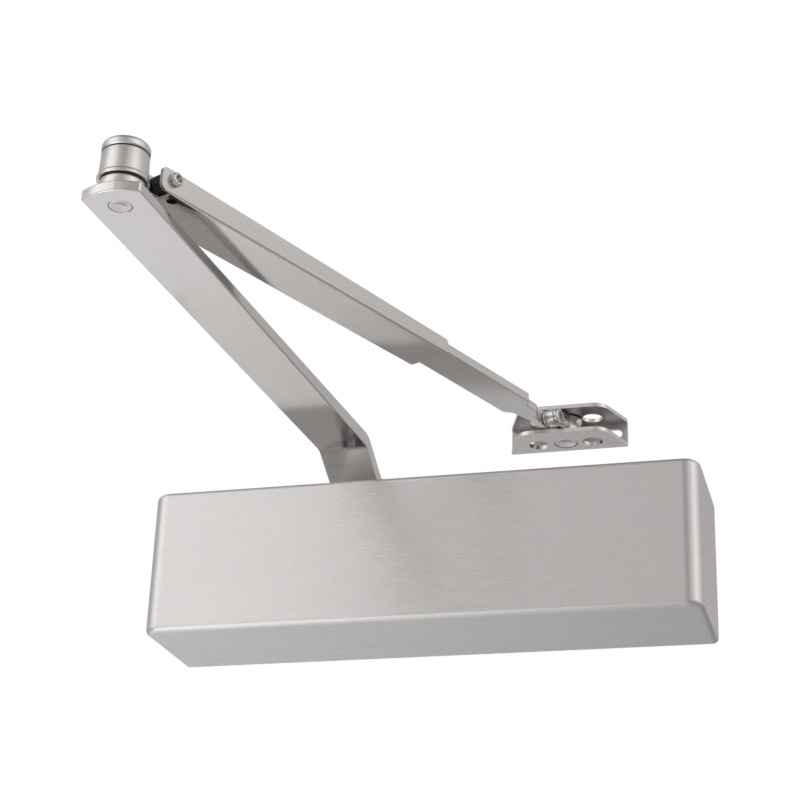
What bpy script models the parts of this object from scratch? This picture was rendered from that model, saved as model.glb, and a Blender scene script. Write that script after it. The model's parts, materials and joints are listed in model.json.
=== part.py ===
"""Surface-mounted overhead door closer with a box cover, a cranked main arm and a telescopic forearm.

Metres, +Z up. X runs along the cover, +Y points into the door, and the origin is the centre of the
mounting plate's back face. The arms lie as they do with the closer on the bench: the main arm stands
out from the door and the forearm comes back to the frame bracket.
"""

from math import atan2, ceil, cos, dist, pi, radians, sin, tan

import bmesh
import bpy
from mathutils import Matrix, Vector

GAP = 0.0003

# Cover and mounting plate
COVER_LENGTH = 0.270
COVER_HEIGHT = 0.072
COVER_DEPTH = 0.060
COVER_WALL = 0.0012
COVER_CORNER = 0.0085
COVER_EDGE = 0.0022
SLOT_RADIUS = 0.013
PLATE_LENGTH = 0.260
PLATE_HEIGHT = 0.064
PLATE_THICKNESS = 0.0025
DOOR_HOLE = (0.1245, 0.020)
CLIP_WIDTH = 0.024
CLIP_STRIP = 0.0010

# Cast body, with its long bore on X and the spindle bore on Z
BODY_LENGTH = 0.236
BODY_HEIGHT = 0.060
BODY_DEPTH = 0.0384
BODY_FRONT = -PLATE_THICKNESS - GAP - BODY_DEPTH
AXIS_Y = BODY_FRONT + BODY_DEPTH / 2
BORE_RADIUS = 0.016
SPINDLE_BORE = 0.012
BODY_SCREW = (0.110, 0.0235)
VALVE_PLACES = {
    "sweep_valve": (-0.088, 0.0235),
    "latch_valve": (-0.072, 0.0235),
    "backcheck_valve": (-0.088, -0.0235),
}
VALVE_RADIUS = 0.0028
VALVE_LENGTH = 0.015
CAP_LENGTH = 0.012

# Pivots at rest
SPINDLE = Vector((-0.038, AXIS_Y, 0))
ELBOW = Vector((-0.0557, -0.2964, 0))
SHOE_PIVOT = Vector((0.0637, -0.0111, 0))
ARM_LENGTH = (ELBOW - SPINDLE).length
ARM_ANGLE = atan2(ELBOW.y - SPINDLE.y, ELBOW.x - SPINDLE.x)
FOREARM_LENGTH = (SHOE_PIVOT - ELBOW).length
FOREARM_ANGLE = atan2(SHOE_PIVOT.y - ELBOW.y, SHOE_PIVOT.x - ELBOW.x)

# Rack and pinion
MODULE = 0.0016
TEETH = 10
PITCH_RADIUS = MODULE * TEETH / 2
PRESSURE = radians(25)
ADDENDUM = 0.8 * MODULE
DEDENDUM = 1.05 * MODULE
TOOTH_PLAY = 0.00016
PINION_HALF = 0.010
SHAFT_RADIUS = 0.0065
SQUARE = 0.0092
PISTON_RADIUS = BORE_RADIUS - GAP
PISTON_LEFT = -0.0885
PISTON_RIGHT = -0.0120
POCKET_LEFT = -0.0740
POCKET_RIGHT = -0.0280
POCKET_BACK = 0.0098

# Spring and its adjuster
SPRING_LEFT = PISTON_RIGHT + GAP
SPRING_RIGHT = 0.0935
SPRING_RADIUS = 0.0126
SPRING_WIRE = 0.0021
SPRING_TURNS = 6
SEAT_THICKNESS = 0.004
ADJUSTER_RADIUS = 0.004

# Main arm
ARM_WIDTH = 0.0252
ARM_END_REACH = 0.0122
ARM_END_RADIUS = 0.022
FOOT_BOTTOM = 0.0420
FOOT_THICKNESS = 0.0065
ARM_BOTTOM = 0.0560
ARM_ROOT_THICKNESS = 0.0069
ARM_TIP_THICKNESS = 0.0045
LOWER_BEND = 0.0099
UPPER_BEND = 0.0306
ELBOW_PIN = 0.00465

# Elbow stack, bottom to top
COLLAR_TOP = 0.0653
SLEEVE_BOTTOM = 0.0666
SLEEVE_TOP = 0.0780
SLEEVE_RADIUS = 0.0098
CAP_BOTTOM = 0.0793
CAP_TOP = 0.0843

# Forearm, in its own frame: X from the elbow to the bracket, Y to the left
TILT_X = 0.0179
TILT_Z = 0.0732
LUG_RIGHT = -0.0005
LUG_LEFT = 0.0075
BUSH_RADIUS = 0.0044
CHANNEL_START = 0.0113
CHANNEL_END = 0.1970
WEB_START = 0.0175
CHANNEL_TOP = 0.0769
CHANNEL_LOW = 0.0670
CHANNEL_HIGH = 0.0700
CHANNEL_WIDTH = 0.0220
CHANNEL_SHEET = 0.0015
CENTRE_Y = 0.0012
ROD_BOTTOM = 0.0724
ROD_TOP = 0.0769
ROD_WIDTH = 0.0178
ROD_START = 0.090
ROD_SHOULDER = 0.265
LOCK_X = 0.165
SLOT_START = 0.115
SLOT_END = 0.195
RIVET_X = 0.2925
RIVET_Z = 0.0748

# Frame bracket, about its pivot
SHOE_HALF = 0.0295
SHOE_BOTTOM = 0.0679
SHOE_TOP = 0.0826
SHOE_SHEET = 0.0020
SHOE_BACK = -SHOE_PIVOT.y
SHOE_FRONT = -0.0145
SHOE_NOSE_HALF = 0.0210
SHOE_HOLE = 0.0051
SHOE_HOLE_X = 0.0134
SHOE_SLOT_X = 0.0222
PIVOT_RADIUS = 0.0056
BLOCK_RADIUS = 0.0082


# ---------------------------------------------------------------- helpers


def clear_scene():
    for obj in list(bpy.data.objects):
        bpy.data.objects.remove(obj, do_unlink=True)


def collection(name):
    found = bpy.data.collections.new(name)
    bpy.context.scene.collection.children.link(found)
    return found


def finish_of(name, colour, roughness, metallic):
    """A Principled material with one colour."""
    made = bpy.data.materials.new(name)
    made.use_nodes = True
    shader = made.node_tree.nodes["Principled BSDF"]
    shader.inputs["Base Color"].default_value = (*colour, 1)
    shader.inputs["Roughness"].default_value = roughness
    shader.inputs["Metallic"].default_value = metallic
    return made


def place(obj, at=(0, 0, 0), turn=(0, 0, 0)):
    obj.location = at
    obj.rotation_euler = turn
    return obj


def part(obj, finish, smooth=30):
    """Names the object's finish, shades it and files it with the closer's parts."""
    for holder in list(obj.users_collection):
        holder.objects.unlink(obj)
    PARTS.objects.link(obj)
    obj.data.materials.clear()
    obj.data.materials.append(FINISHES[finish])
    obj.data.shade_smooth()
    obj.data.set_sharp_from_angle(angle=radians(smooth))
    return obj


def cutter(obj):
    """Files a Boolean's tool out of sight."""
    for holder in list(obj.users_collection):
        holder.objects.unlink(obj)
    CUTTERS.objects.link(obj)
    obj.hide_render = True
    obj.display_type = "WIRE"
    return obj


def boolean(obj, tool, operation):
    step = obj.modifiers.new(f"{operation.lower()} {tool.name}", "BOOLEAN")
    step.operation = operation
    step.solver = "EXACT"
    step.object = tool
    return obj


def cut(obj, *tools):
    for tool in tools:
        boolean(obj, cutter(tool), "DIFFERENCE")
    return obj


def join(obj, *tools):
    for tool in tools:
        boolean(obj, cutter(tool), "UNION")
    return obj


def box(name, low, high):
    """A box between two corners, with its scale applied."""
    middle = [(a + b) / 2 for a, b in zip(low, high)]
    mesh = bpy.data.meshes.new(name)
    shape = bmesh.new()
    bmesh.ops.create_cube(shape, size=1)
    size = [b - a for a, b in zip(low, high)]
    bmesh.ops.scale(shape, vec=size, verts=shape.verts)
    bmesh.ops.translate(shape, vec=middle, verts=shape.verts)
    shape.to_mesh(mesh)
    shape.free()
    obj = bpy.data.objects.new(name, mesh)
    bpy.context.scene.collection.objects.link(obj)
    return obj


def rod(name, radius, start, end, sides=32):
    """A round bar between two points."""
    start = Vector(start)
    end = Vector(end)
    mesh = bpy.data.meshes.new(name)
    shape = bmesh.new()
    length = (end - start).length
    bmesh.ops.create_cone(shape, cap_ends=True, segments=sides, radius1=radius, radius2=radius, depth=length)
    turn = Vector((0, 0, 1)).rotation_difference(end - start).to_matrix().to_4x4()
    bmesh.ops.transform(shape, matrix=Matrix.Translation((start + end) / 2) @ turn, verts=shape.verts)
    shape.to_mesh(mesh)
    shape.free()
    obj = bpy.data.objects.new(name, mesh)
    bpy.context.scene.collection.objects.link(obj)
    return obj


def turned(name, profile, sides=32, ring=False):
    """Spins (radius, height) points about Z. The points run down the outside, top first.
    A ring's points close on themselves, and any other profile starts and ends on the axis."""
    mesh = bpy.data.meshes.new(name)
    points = [(r, 0, z) for r, z in profile]
    edges = [(i, i + 1) for i in range(len(points) - 1)]
    if ring:
        edges.append((len(points) - 1, 0))
    mesh.from_pydata(points, edges, [])
    obj = bpy.data.objects.new(name, mesh)
    bpy.context.scene.collection.objects.link(obj)
    spin = obj.modifiers.new("spin", "SCREW")
    spin.steps = sides
    spin.render_steps = sides
    spin.use_merge_vertices = True
    spin.merge_threshold = 0.00001
    return obj


def ring(name, inner, outer, low, high, sides=32, chamfer=0.0):
    c = chamfer
    profile = [(outer - c, high), (outer, high - c), (outer, low + c), (outer - c, low)]
    profile += [(inner, low), (inner, high)]
    if not c:
        profile = [(outer, high), (outer, low), (inner, low), (inner, high)]
    return turned(name, profile, sides, ring=True)


def arc(centre, radius, start, end, steps):
    """Points on a circle, in degrees."""
    angles = [radians(start + (end - start) * i / steps) for i in range(steps + 1)]
    return [(centre[0] + radius * cos(a), centre[1] + radius * sin(a)) for a in angles]


def rounded(points, radii, steps=4):
    """A closed outline with each corner rounded by its own radius."""
    found = []
    count = len(points)
    for i, (point, radius) in enumerate(zip(points, radii)):
        here = Vector(point)
        if radius <= 0:
            found.append(tuple(here))
            continue
        back = (Vector(points[i - 1]) - here).normalized()
        ahead = (Vector(points[(i + 1) % count]) - here).normalized()
        half = back.angle(ahead) / 2
        reach = radius / tan(half)
        centre = here + (back + ahead).normalized() * radius / sin(half)
        first = here + back * reach - centre
        last = here + ahead * reach - centre
        sweep = first.angle_signed(last)
        for k in range(steps + 1):
            spoke = first.copy()
            spoke.rotate(Matrix.Rotation(-sweep * k / steps, 2))
            found.append(tuple(centre + spoke))
    return found


def solid_from_curve(name, outline, half):
    """A flat outline in XY, filled, with a thickness of twice half, as a welded mesh."""
    curve = bpy.data.curves.new(name, "CURVE")
    curve.dimensions = "2D"
    curve.fill_mode = "BOTH"
    curve.extrude = half
    line = curve.splines.new("POLY")
    line.points.add(len(outline) - 1)
    for point, (x, y) in zip(line.points, outline):
        point.co = (x, y, 0, 1)
    line.use_cyclic_u = True
    drawn = bpy.data.objects.new(name, curve)
    bpy.context.scene.collection.objects.link(drawn)
    graph = bpy.context.evaluated_depsgraph_get()
    mesh = bpy.data.meshes.new_from_object(drawn.evaluated_get(graph))
    bpy.data.objects.remove(drawn)
    shape = bmesh.new()
    shape.from_mesh(mesh)
    bmesh.ops.remove_doubles(shape, verts=shape.verts, dist=0.000001)
    bmesh.ops.recalc_face_normals(shape, faces=shape.faces)
    shape.to_mesh(mesh)
    shape.free()
    obj = bpy.data.objects.new(name, mesh)
    bpy.context.scene.collection.objects.link(obj)
    return obj


def slab(name, outline, low, high):
    """A plan outline between two heights."""
    obj = solid_from_curve(name, outline, (high - low) / 2)
    obj.data.transform(Matrix.Translation((0, 0, (low + high) / 2)))
    return obj


def side_slab(name, outline, right, left):
    """An outline in X and Z, given width along Y between right and left."""
    obj = solid_from_curve(name, outline, (left - right) / 2)
    upright = Matrix(((1, 0, 0, 0), (0, 0, -1, 0), (0, 1, 0, 0), (0, 0, 0, 1)))
    obj.data.transform(Matrix.Translation((0, (right + left) / 2, 0)) @ upright)
    return obj


def hex_socket(name, across, start, end):
    return rod(name, across / 2 / cos(pi / 6), start, end, sides=6)


def along_x(obj, at=(0, 0, 0)):
    """Lays a turned piece with its own +Z along +X."""
    return place(obj, at, (0, pi / 2, 0))


def along_y(obj, at=(0, 0, 0)):
    """Lays a turned piece with its own +Z along -Y, towards the front."""
    return place(obj, at, (pi / 2, 0, 0))


def tube_ring(name, major, minor, sides=32, round_sides=8):
    """A rubber ring of round section about Z."""
    profile = arc((major, 0), minor, 90, 90 - 360 * (round_sides - 1) / round_sides, round_sides - 1)
    return turned(name, profile, sides, ring=True)


# ---------------------------------------------------------------- cover and plate


def cover_outline(inset):
    """The cover's plan: round front corners, open to the back when it is inset."""
    half = COVER_LENGTH / 2 - inset
    front = -COVER_DEPTH + inset
    back = 0.0 if inset == 0 else 0.005
    corner = COVER_CORNER - inset
    corners = [(-half, back), (-half, front), (half, front), (half, back)]
    return rounded(corners, [0, corner, corner, 0], steps=8)


def make_cover():
    half = COVER_HEIGHT / 2
    cover = slab("cover", cover_outline(0), -half, half)
    edge = cover.modifiers.new("edge", "BEVEL")
    edge.width = COVER_EDGE
    edge.segments = 3
    edge.limit_method = "ANGLE"
    edge.angle_limit = radians(40)
    hollow = slab("cover_hollow", cover_outline(COVER_WALL), -half + COVER_WALL, half - COVER_WALL)
    cut(cover, hollow)
    nose = arc((SPINDLE.x, SPINDLE.y), SLOT_RADIUS, 180, 360, 12)
    slot = nose + [(SPINDLE.x + SLOT_RADIUS, 0.005), (SPINDLE.x - SLOT_RADIUS, 0.005)]
    cut(cover, slab("cover_slot", slot, half - 2 * COVER_WALL, half + COVER_WALL))
    part(cover, "cover_steel")


def make_plate():
    half_x = PLATE_LENGTH / 2
    half_z = PLATE_HEIGHT / 2
    corners = [(-half_x, -half_z), (half_x, -half_z), (half_x, half_z), (-half_x, half_z)]
    plate = side_slab("mounting_plate", rounded(corners, [0.004] * 4), -PLATE_THICKNESS, 0)
    through = 0.002
    for sx in (-1, 1):
        for sz in (-1, 1):
            x, z = sx * DOOR_HOLE[0], sz * DOOR_HOLE[1]
            cut(plate, rod("door_hole", 0.003, (x, -PLATE_THICKNESS - through, z), (x, through, z), 16))
            x, z = sx * BODY_SCREW[0], sz * BODY_SCREW[1]
            cut(plate, rod("body_hole", 0.0028, (x, -PLATE_THICKNESS - through, z), (x, through, z), 12))
        x = sx * DOOR_HOLE[0]
        cut(plate, rod("clip_hole", 0.0023, (x, -PLATE_THICKNESS - through, 0), (x, through, 0), 12))
    part(plate, "zinc")


def make_clip(name, side):
    """A bent strip from the plate's end along the inside of the cover's side."""
    top = -PLATE_THICKNESS - GAP
    outer = COVER_LENGTH / 2 - COVER_WALL - 2 * GAP
    inner = outer - CLIP_STRIP
    low = top - CLIP_STRIP
    corners = [(0.1192, low), (inner, low), (inner, -0.028), (outer, -0.028), (outer, top), (0.1192, top)]
    outline = rounded(corners, [0, 0.0010, 0, 0, 0.0020, 0], steps=3)
    clip = slab(name, [(side * x, y) for x, y in outline], -CLIP_WIDTH / 2, CLIP_WIDTH / 2)
    x = side * DOOR_HOLE[0]
    cut(clip, rod(f"{name}_hole", 0.0023, (x, -0.008, 0), (x, 0.002, 0), 12))
    part(clip, "zinc")


def make_clip_screw(name, side):
    head = -PLATE_THICKNESS - GAP - CLIP_STRIP - GAP
    x = side * DOOR_HOLE[0]
    top = -head + 0.0020
    profile = [(0, top), (0.0030, top), (0.0037, top - 0.0009), (0.0037, -head)]
    profile += [(0.0020, -head), (0.0020, GAP), (0, GAP)]
    screw = along_y(turned(name, profile, 16), (x, 0, 0))
    cut(screw, box(f"{name}_slot", (x - 0.0005, -0.0080, -0.005), (x + 0.0005, -top + 0.0009, 0.005)))
    part(screw, "zinc")


# ---------------------------------------------------------------- body and hydraulics


def make_body():
    half = BODY_LENGTH / 2
    back = BODY_FRONT + BODY_DEPTH
    body = box("closer_body", (-half, BODY_FRONT, -BODY_HEIGHT / 2), (half, back, BODY_HEIGHT / 2))
    edge = body.modifiers.new("edge", "BEVEL")
    edge.width = 0.0025
    edge.segments = 1
    past = half + 0.002
    cut(body, rod("long_bore", BORE_RADIUS, (-past, AXIS_Y, 0), (past, AXIS_Y, 0), 36))
    cut(body, place(rod("spindle_bore", SPINDLE_BORE, (0, 0, -0.035), (0, 0, 0.035), 24), SPINDLE))
    for sx in (-1, 1):
        for sz in (-1, 1):
            x, z = sx * BODY_SCREW[0], sz * BODY_SCREW[1]
            cut(body, rod("screw_hole", 0.0028, (x, -0.060, z), (x, 0.005, z), 12))
            cut(body, rod("screw_recess", 0.0050, (x, BODY_FRONT - 0.002, z), (x, BODY_FRONT + 0.006, z), 16))
    for name, (x, z) in VALVE_PLACES.items():
        start, end = BODY_FRONT - 0.002, BODY_FRONT + VALVE_LENGTH + 0.002
        cut(body, rod(f"{name}_hole", VALVE_RADIUS + GAP, (x, start, z), (x, end, z), 16))
    part(body, "cast_aluminium")


def make_body_screw(name, x, z):
    head_top = -BODY_FRONT - 0.0006
    head_bottom = -BODY_FRONT - 0.006 + GAP
    profile = [
        (0, head_top),
        (0.0042, head_top),
        (0.0046, head_top - 0.0004),
        (0.0046, head_bottom),
        (0.0025, head_bottom),
        (0.0025, GAP),
        (0, GAP),
    ]
    screw = along_y(turned(name, profile, 16), (x, 0, z))
    cut(screw, hex_socket(f"{name}_socket", 0.004, (x, BODY_FRONT - 0.001, z), (x, -head_top + 0.003, z)))
    part(screw, "zinc")


def groove_profile(radius, low, high, groove_at, groove_bottom, groove_half, chamfer):
    """A plug's outside with a groove for its rubber ring, top first."""
    return [
        (0, high),
        (radius - chamfer, high),
        (radius, high - chamfer),
        (radius, groove_at + groove_half),
        (groove_bottom, groove_at + groove_half),
        (groove_bottom, groove_at - groove_half),
        (radius, groove_at - groove_half),
        (radius, low),
        (0, low),
    ]


def make_end_cap(name, side):
    """A plug in the long bore. Its outer face is flush with the body's end."""
    profile = groove_profile(PISTON_RADIUS, 0, CAP_LENGTH, 0.004, 0.0130, 0.0014, 0.0006)
    cap = turned(name, profile, 36)
    start = side * (BODY_LENGTH / 2 - CAP_LENGTH)
    place(cap, (start, AXIS_Y, 0), (0, side * pi / 2, 0))
    end = side * (BODY_LENGTH / 2 + 0.002)
    if side < 0:
        cut(cap, hex_socket(f"{name}_socket", 0.010, (end, AXIS_Y, 0), (end + 0.009, AXIS_Y, 0)))
    else:
        cut(cap, rod(f"{name}_hole", ADJUSTER_RADIUS + GAP, (start - 0.002, AXIS_Y, 0), (end, AXIS_Y, 0), 24))
    part(cap, "machined_steel")
    seal = tube_ring(f"{name}_ring", 0.01445, 0.0011, 24, 6)
    along_x(seal, (start + side * 0.004, AXIS_Y, 0))
    part(seal, "black_rubber")


def rack_outline():
    """The pocket that the pinion turns in, seen from above. Its front side carries the rack's teeth."""
    pitch = pi * MODULE
    pitch_y = SPINDLE.y - PITCH_RADIUS
    tip_y = pitch_y + ADDENDUM
    root_y = pitch_y - DEDENDUM
    half_tooth = pitch / 4 - TOOTH_PLAY / 2
    tip_half = half_tooth - ADDENDUM * tan(PRESSURE)
    root_half = half_tooth + DEDENDUM * tan(PRESSURE)
    points = []
    first = ceil((POCKET_LEFT - SPINDLE.x + root_half) / pitch)
    last = int((POCKET_RIGHT - SPINDLE.x - root_half) // pitch)
    for k in range(first, last + 1):
        x = SPINDLE.x + k * pitch
        points += [(x - root_half, root_y), (x - tip_half, tip_y)]
        points += [(x + tip_half, tip_y), (x + root_half, root_y)]
    back = SPINDLE.y + POCKET_BACK
    points += [(POCKET_RIGHT, root_y), (POCKET_RIGHT, back), (POCKET_LEFT, back), (POCKET_LEFT, root_y)]
    return points


def make_piston():
    piston = rod("piston", PISTON_RADIUS, (PISTON_LEFT, AXIS_Y, 0), (PISTON_RIGHT, AXIS_Y, 0), 36)
    cut(piston, slab("rack_pocket", rack_outline(), -0.020, 0.020))
    start, end = (PISTON_LEFT - 0.002, AXIS_Y, 0), (PISTON_LEFT + 0.011, AXIS_Y, 0)
    cut(piston, rod("check_valve_hole", 0.0033, start, end, 20))
    part(piston, "machined_steel")
    start, end = (PISTON_LEFT + 0.0005, AXIS_Y, 0), (PISTON_LEFT + 0.0105, AXIS_Y, 0)
    valve = rod("piston_check_valve", 0.0030, start, end, 20)
    part(valve, "brass")


def involute(base, radius, start):
    """The point of an involute of the base circle at a radius, with its foot at the angle start."""
    roll = (radius**2 / base**2 - 1) ** 0.5
    angle = start + roll - atan2(roll, 1)
    return radius * cos(angle), radius * sin(angle)


def pinion_outline():
    """Ten involute teeth about the spindle. A space faces the rack, where a rack tooth stands."""
    base = PITCH_RADIUS * cos(PRESSURE)
    tip = PITCH_RADIUS + ADDENDUM
    root = PITCH_RADIUS - DEDENDUM
    roll = tan(PRESSURE)
    foot = roll - PRESSURE
    half_tooth = pi / TEETH / 2 - TOOTH_PLAY / 2 / PITCH_RADIUS
    radii = [base + (tip - base) * i / 4 for i in range(5)]
    points = []
    for k in range(TEETH):
        middle = -pi / 2 + pi / TEETH + 2 * pi * k / TEETH
        flank = [involute(base, r, -half_tooth - foot) for r in radii]
        start = (root * cos(-half_tooth - foot), root * sin(-half_tooth - foot))
        right = [start] + flank
        left = [(x, -y) for x, y in reversed(right)]
        c, s = cos(middle), sin(middle)
        points += [(x * c - y * s, x * s + y * c) for x, y in right + left]
    return points


def make_spindle():
    top = FOOT_BOTTOM + FOOT_THICKNESS - GAP
    shaft_top = 0.0330
    profile = [(0, shaft_top), (SHAFT_RADIUS, shaft_top), (SHAFT_RADIUS, -0.0332), (0, -0.0332)]
    spindle = turned("pinion_spindle", profile, 32)
    place(spindle, SPINDLE)
    half = SQUARE / 2
    x, y = SPINDLE.x, SPINDLE.y
    square = box("spindle_square", (-half, -half, shaft_top - 0.004), (half, half, top))
    join(spindle, place(square, (x, y, 0), (0, 0, ARM_ANGLE)))
    join(spindle, place(slab("pinion_teeth", pinion_outline(), -PINION_HALF, PINION_HALF), (x, y, 0)))
    cut(spindle, rod("arm_screw_hole", 0.0033, (x, y, 0.036), (x, y, 0.055), 20))
    part(spindle, "machined_steel")


def make_spindle_seat(side):
    """Bearing, seal and gland nut at one end of the spindle."""
    word = "upper" if side > 0 else "lower"
    shaft = SHAFT_RADIUS + GAP
    wall = SPINDLE_BORE - GAP
    stack = [
        ("bearing", 0.0165, 0.0225, "machined_steel", 0.0004),
        ("seal", 0.0228, 0.0250, "black_rubber", 0.0),
        ("gland_nut", 0.0253, 0.0312, "zinc", 0.0008),
    ]
    for name, low, high, finish, chamfer in stack:
        low, high = sorted((side * low, side * high))
        piece = place(ring(f"{word}_{name}", shaft, wall, low, high, 24, chamfer), (SPINDLE.x, SPINDLE.y, 0))
        if name == "gland_nut":
            for turn in (0, pi):
                x, y = SPINDLE.x + 0.0092 * cos(turn), SPINDLE.y + 0.0092 * sin(turn)
                ends = sorted((side * 0.0280, side * 0.0330))
                cut(piece, rod("spanner_hole", 0.0012, (x, y, ends[0]), (x, y, ends[1]), 12))
        part(piece, finish)


def make_spindle_cap():
    """A cup over the unused lower end of the spindle."""
    inner = SHAFT_RADIUS + GAP
    top, floor, bottom = -0.0315, -0.0335, -0.0344
    profile = [(0, floor), (inner, floor), (inner, top), (0.0088, top)]
    profile += [(0.0088, bottom + 0.0004), (0.0084, bottom), (0, bottom)]
    part(place(turned("spindle_cap", profile, 24), (SPINDLE.x, SPINDLE.y, 0)), "black_plastic")


def make_spring():
    curve = bpy.data.curves.new("main_spring", "CURVE")
    curve.dimensions = "3D"
    curve.bevel_depth = SPRING_WIRE
    curve.bevel_resolution = 2
    curve.use_fill_caps = True
    per_turn = 12
    count = SPRING_TURNS * per_turn
    start = SPRING_LEFT + SPRING_WIRE
    reach = SPRING_RIGHT - SPRING_WIRE - start
    coil = curve.splines.new("POLY")
    coil.points.add(count)
    for i, point in enumerate(coil.points):
        turn = 2 * pi * i / per_turn
        share = i / count
        point.co = (start + reach * share, AXIS_Y + SPRING_RADIUS * cos(turn), SPRING_RADIUS * sin(turn), 1)
    drawn = bpy.data.objects.new("main_spring", curve)
    bpy.context.scene.collection.objects.link(drawn)
    part_curve(drawn, "spring_steel")


def part_curve(obj, finish):
    for holder in list(obj.users_collection):
        holder.objects.unlink(obj)
    PARTS.objects.link(obj)
    obj.data.materials.append(FINISHES[finish])


def make_spring_seat():
    low = SPRING_RIGHT + GAP
    inner = ADJUSTER_RADIUS + GAP
    seat = ring("spring_seat", inner, 0.0150, 0, SEAT_THICKNESS, 24, 0.0005)
    part(along_x(seat, (low, AXIS_Y, 0)), "machined_steel")


def make_adjuster():
    """The screw that moves the spring seat. Its collar bears on the right end cap."""
    outer = BODY_LENGTH / 2 - 0.0005
    inner = BODY_LENGTH / 2 - CAP_LENGTH - GAP
    r = ADJUSTER_RADIUS
    profile = [(0, outer), (r - 0.0005, outer), (r, outer - 0.0005), (r, inner), (0.007, inner)]
    profile += [(0.007, inner - 0.003), (r, inner - 0.003), (r, 0.078), (r - 0.0006, 0.0774), (0, 0.0774)]
    screw = along_x(turned("spring_adjuster", profile, 24), (0, AXIS_Y, 0))
    cut(screw, hex_socket("adjuster_socket", 0.004, (outer + 0.001, AXIS_Y, 0), (outer - 0.005, AXIS_Y, 0)))
    part(screw, "machined_steel")


def make_valve(name, x, z):
    """A regulating screw with a driver slot and a rubber ring."""
    front = -BODY_FRONT - 0.0006
    back = front - VALVE_LENGTH
    groove = front - 0.0045
    profile = groove_profile(VALVE_RADIUS, back + 0.002, front, groove, 0.0016, 0.0007, 0.0003)
    profile[-1] = (0, back)
    screw = along_y(turned(name, profile, 16), (x, 0, z))
    low, high = (x - 0.0005, -front - 0.001, z - 0.004), (x + 0.0005, -front + 0.0012, z + 0.004)
    cut(screw, box(f"{name}_slot", low, high))
    part(screw, "brass")
    seal = along_y(tube_ring(f"{name}_ring", 0.00235, 0.0004, 16, 4), (x, -groove, z))
    part(seal, "black_rubber")


# ---------------------------------------------------------------- main arm and elbow


def arm_side():
    """The main arm from the side: foot, crank and a bar that thins towards the elbow."""
    foot_top = FOOT_BOTTOM + FOOT_THICKNESS
    rise = ARM_BOTTOM - FOOT_BOTTOM
    run = UPPER_BEND - LOWER_BEND
    shift = FOOT_THICKNESS * tan(atan2(rise, run) / 2)
    tip = ARM_LENGTH + 0.03
    corners = [
        (-0.03, FOOT_BOTTOM),
        (LOWER_BEND, FOOT_BOTTOM),
        (UPPER_BEND, ARM_BOTTOM),
        (tip, ARM_BOTTOM),
        (tip, ARM_BOTTOM + ARM_TIP_THICKNESS),
        (ARM_LENGTH, ARM_BOTTOM + ARM_TIP_THICKNESS),
        (UPPER_BEND - shift, ARM_BOTTOM + ARM_ROOT_THICKNESS),
        (LOWER_BEND - shift, foot_top),
        (-0.03, foot_top),
    ]
    return rounded(corners, [0, 0.010, 0.007, 0, 0, 0, 0.014, 0.003, 0])


def arm_plan():
    """The main arm from above: a half-round foot and a shallow arc beyond the elbow."""
    half = ARM_WIDTH / 2
    centre = ARM_LENGTH + ARM_END_REACH - ARM_END_RADIUS
    swing = 33.5
    foot = arc((0, 0), half, 90, 270, 16)
    nose = arc((centre, 0), ARM_END_RADIUS, -swing, swing, 10)
    corner = nose[0][0] - 0.0015
    return foot + [(corner, -half)] + nose + [(corner, half)]


def make_main_arm():
    arm = side_slab("main_arm", arm_side(), -0.02, 0.02)
    plan = slab("arm_plan", arm_plan(), 0.03, 0.07)
    place(arm, SPINDLE, (0, 0, ARM_ANGLE))
    place(plan, SPINDLE, (0, 0, ARM_ANGLE))
    boolean(arm, cutter(plan), "INTERSECT")
    half = SQUARE / 2 + GAP
    hole = box("arm_square", (-half, -half, 0.04), (half, half, 0.055))
    cut(arm, place(hole, SPINDLE, (0, 0, ARM_ANGLE)))
    cut(arm, rod("arm_pin_hole", ELBOW_PIN + GAP, (ELBOW.x, ELBOW.y, 0.05), (ELBOW.x, ELBOW.y, 0.065), 28))
    part(arm, "brushed_steel")


def make_arm_screw():
    low = FOOT_BOTTOM + FOOT_THICKNESS + GAP
    washer = ring("arm_washer", 0.0036, 0.0066, low, low + 0.0015, 24, 0.0003)
    part(place(washer, SPINDLE), "zinc")
    under = low + 0.0015 + GAP
    top = under + 0.0050
    profile = [(0, top), (0.0054, top), (0.0060, top - 0.0006), (0.0060, under)]
    profile += [(0.0030, under), (0.0030, 0.0380), (0, 0.0380)]
    screw = place(turned("arm_screw", profile, 28), SPINDLE)
    x, y = SPINDLE.x, SPINDLE.y
    cut(screw, hex_socket("arm_screw_socket", 0.005, (x, y, top + 0.001), (x, y, top - 0.0035)))
    part(screw, "brushed_steel")


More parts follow.
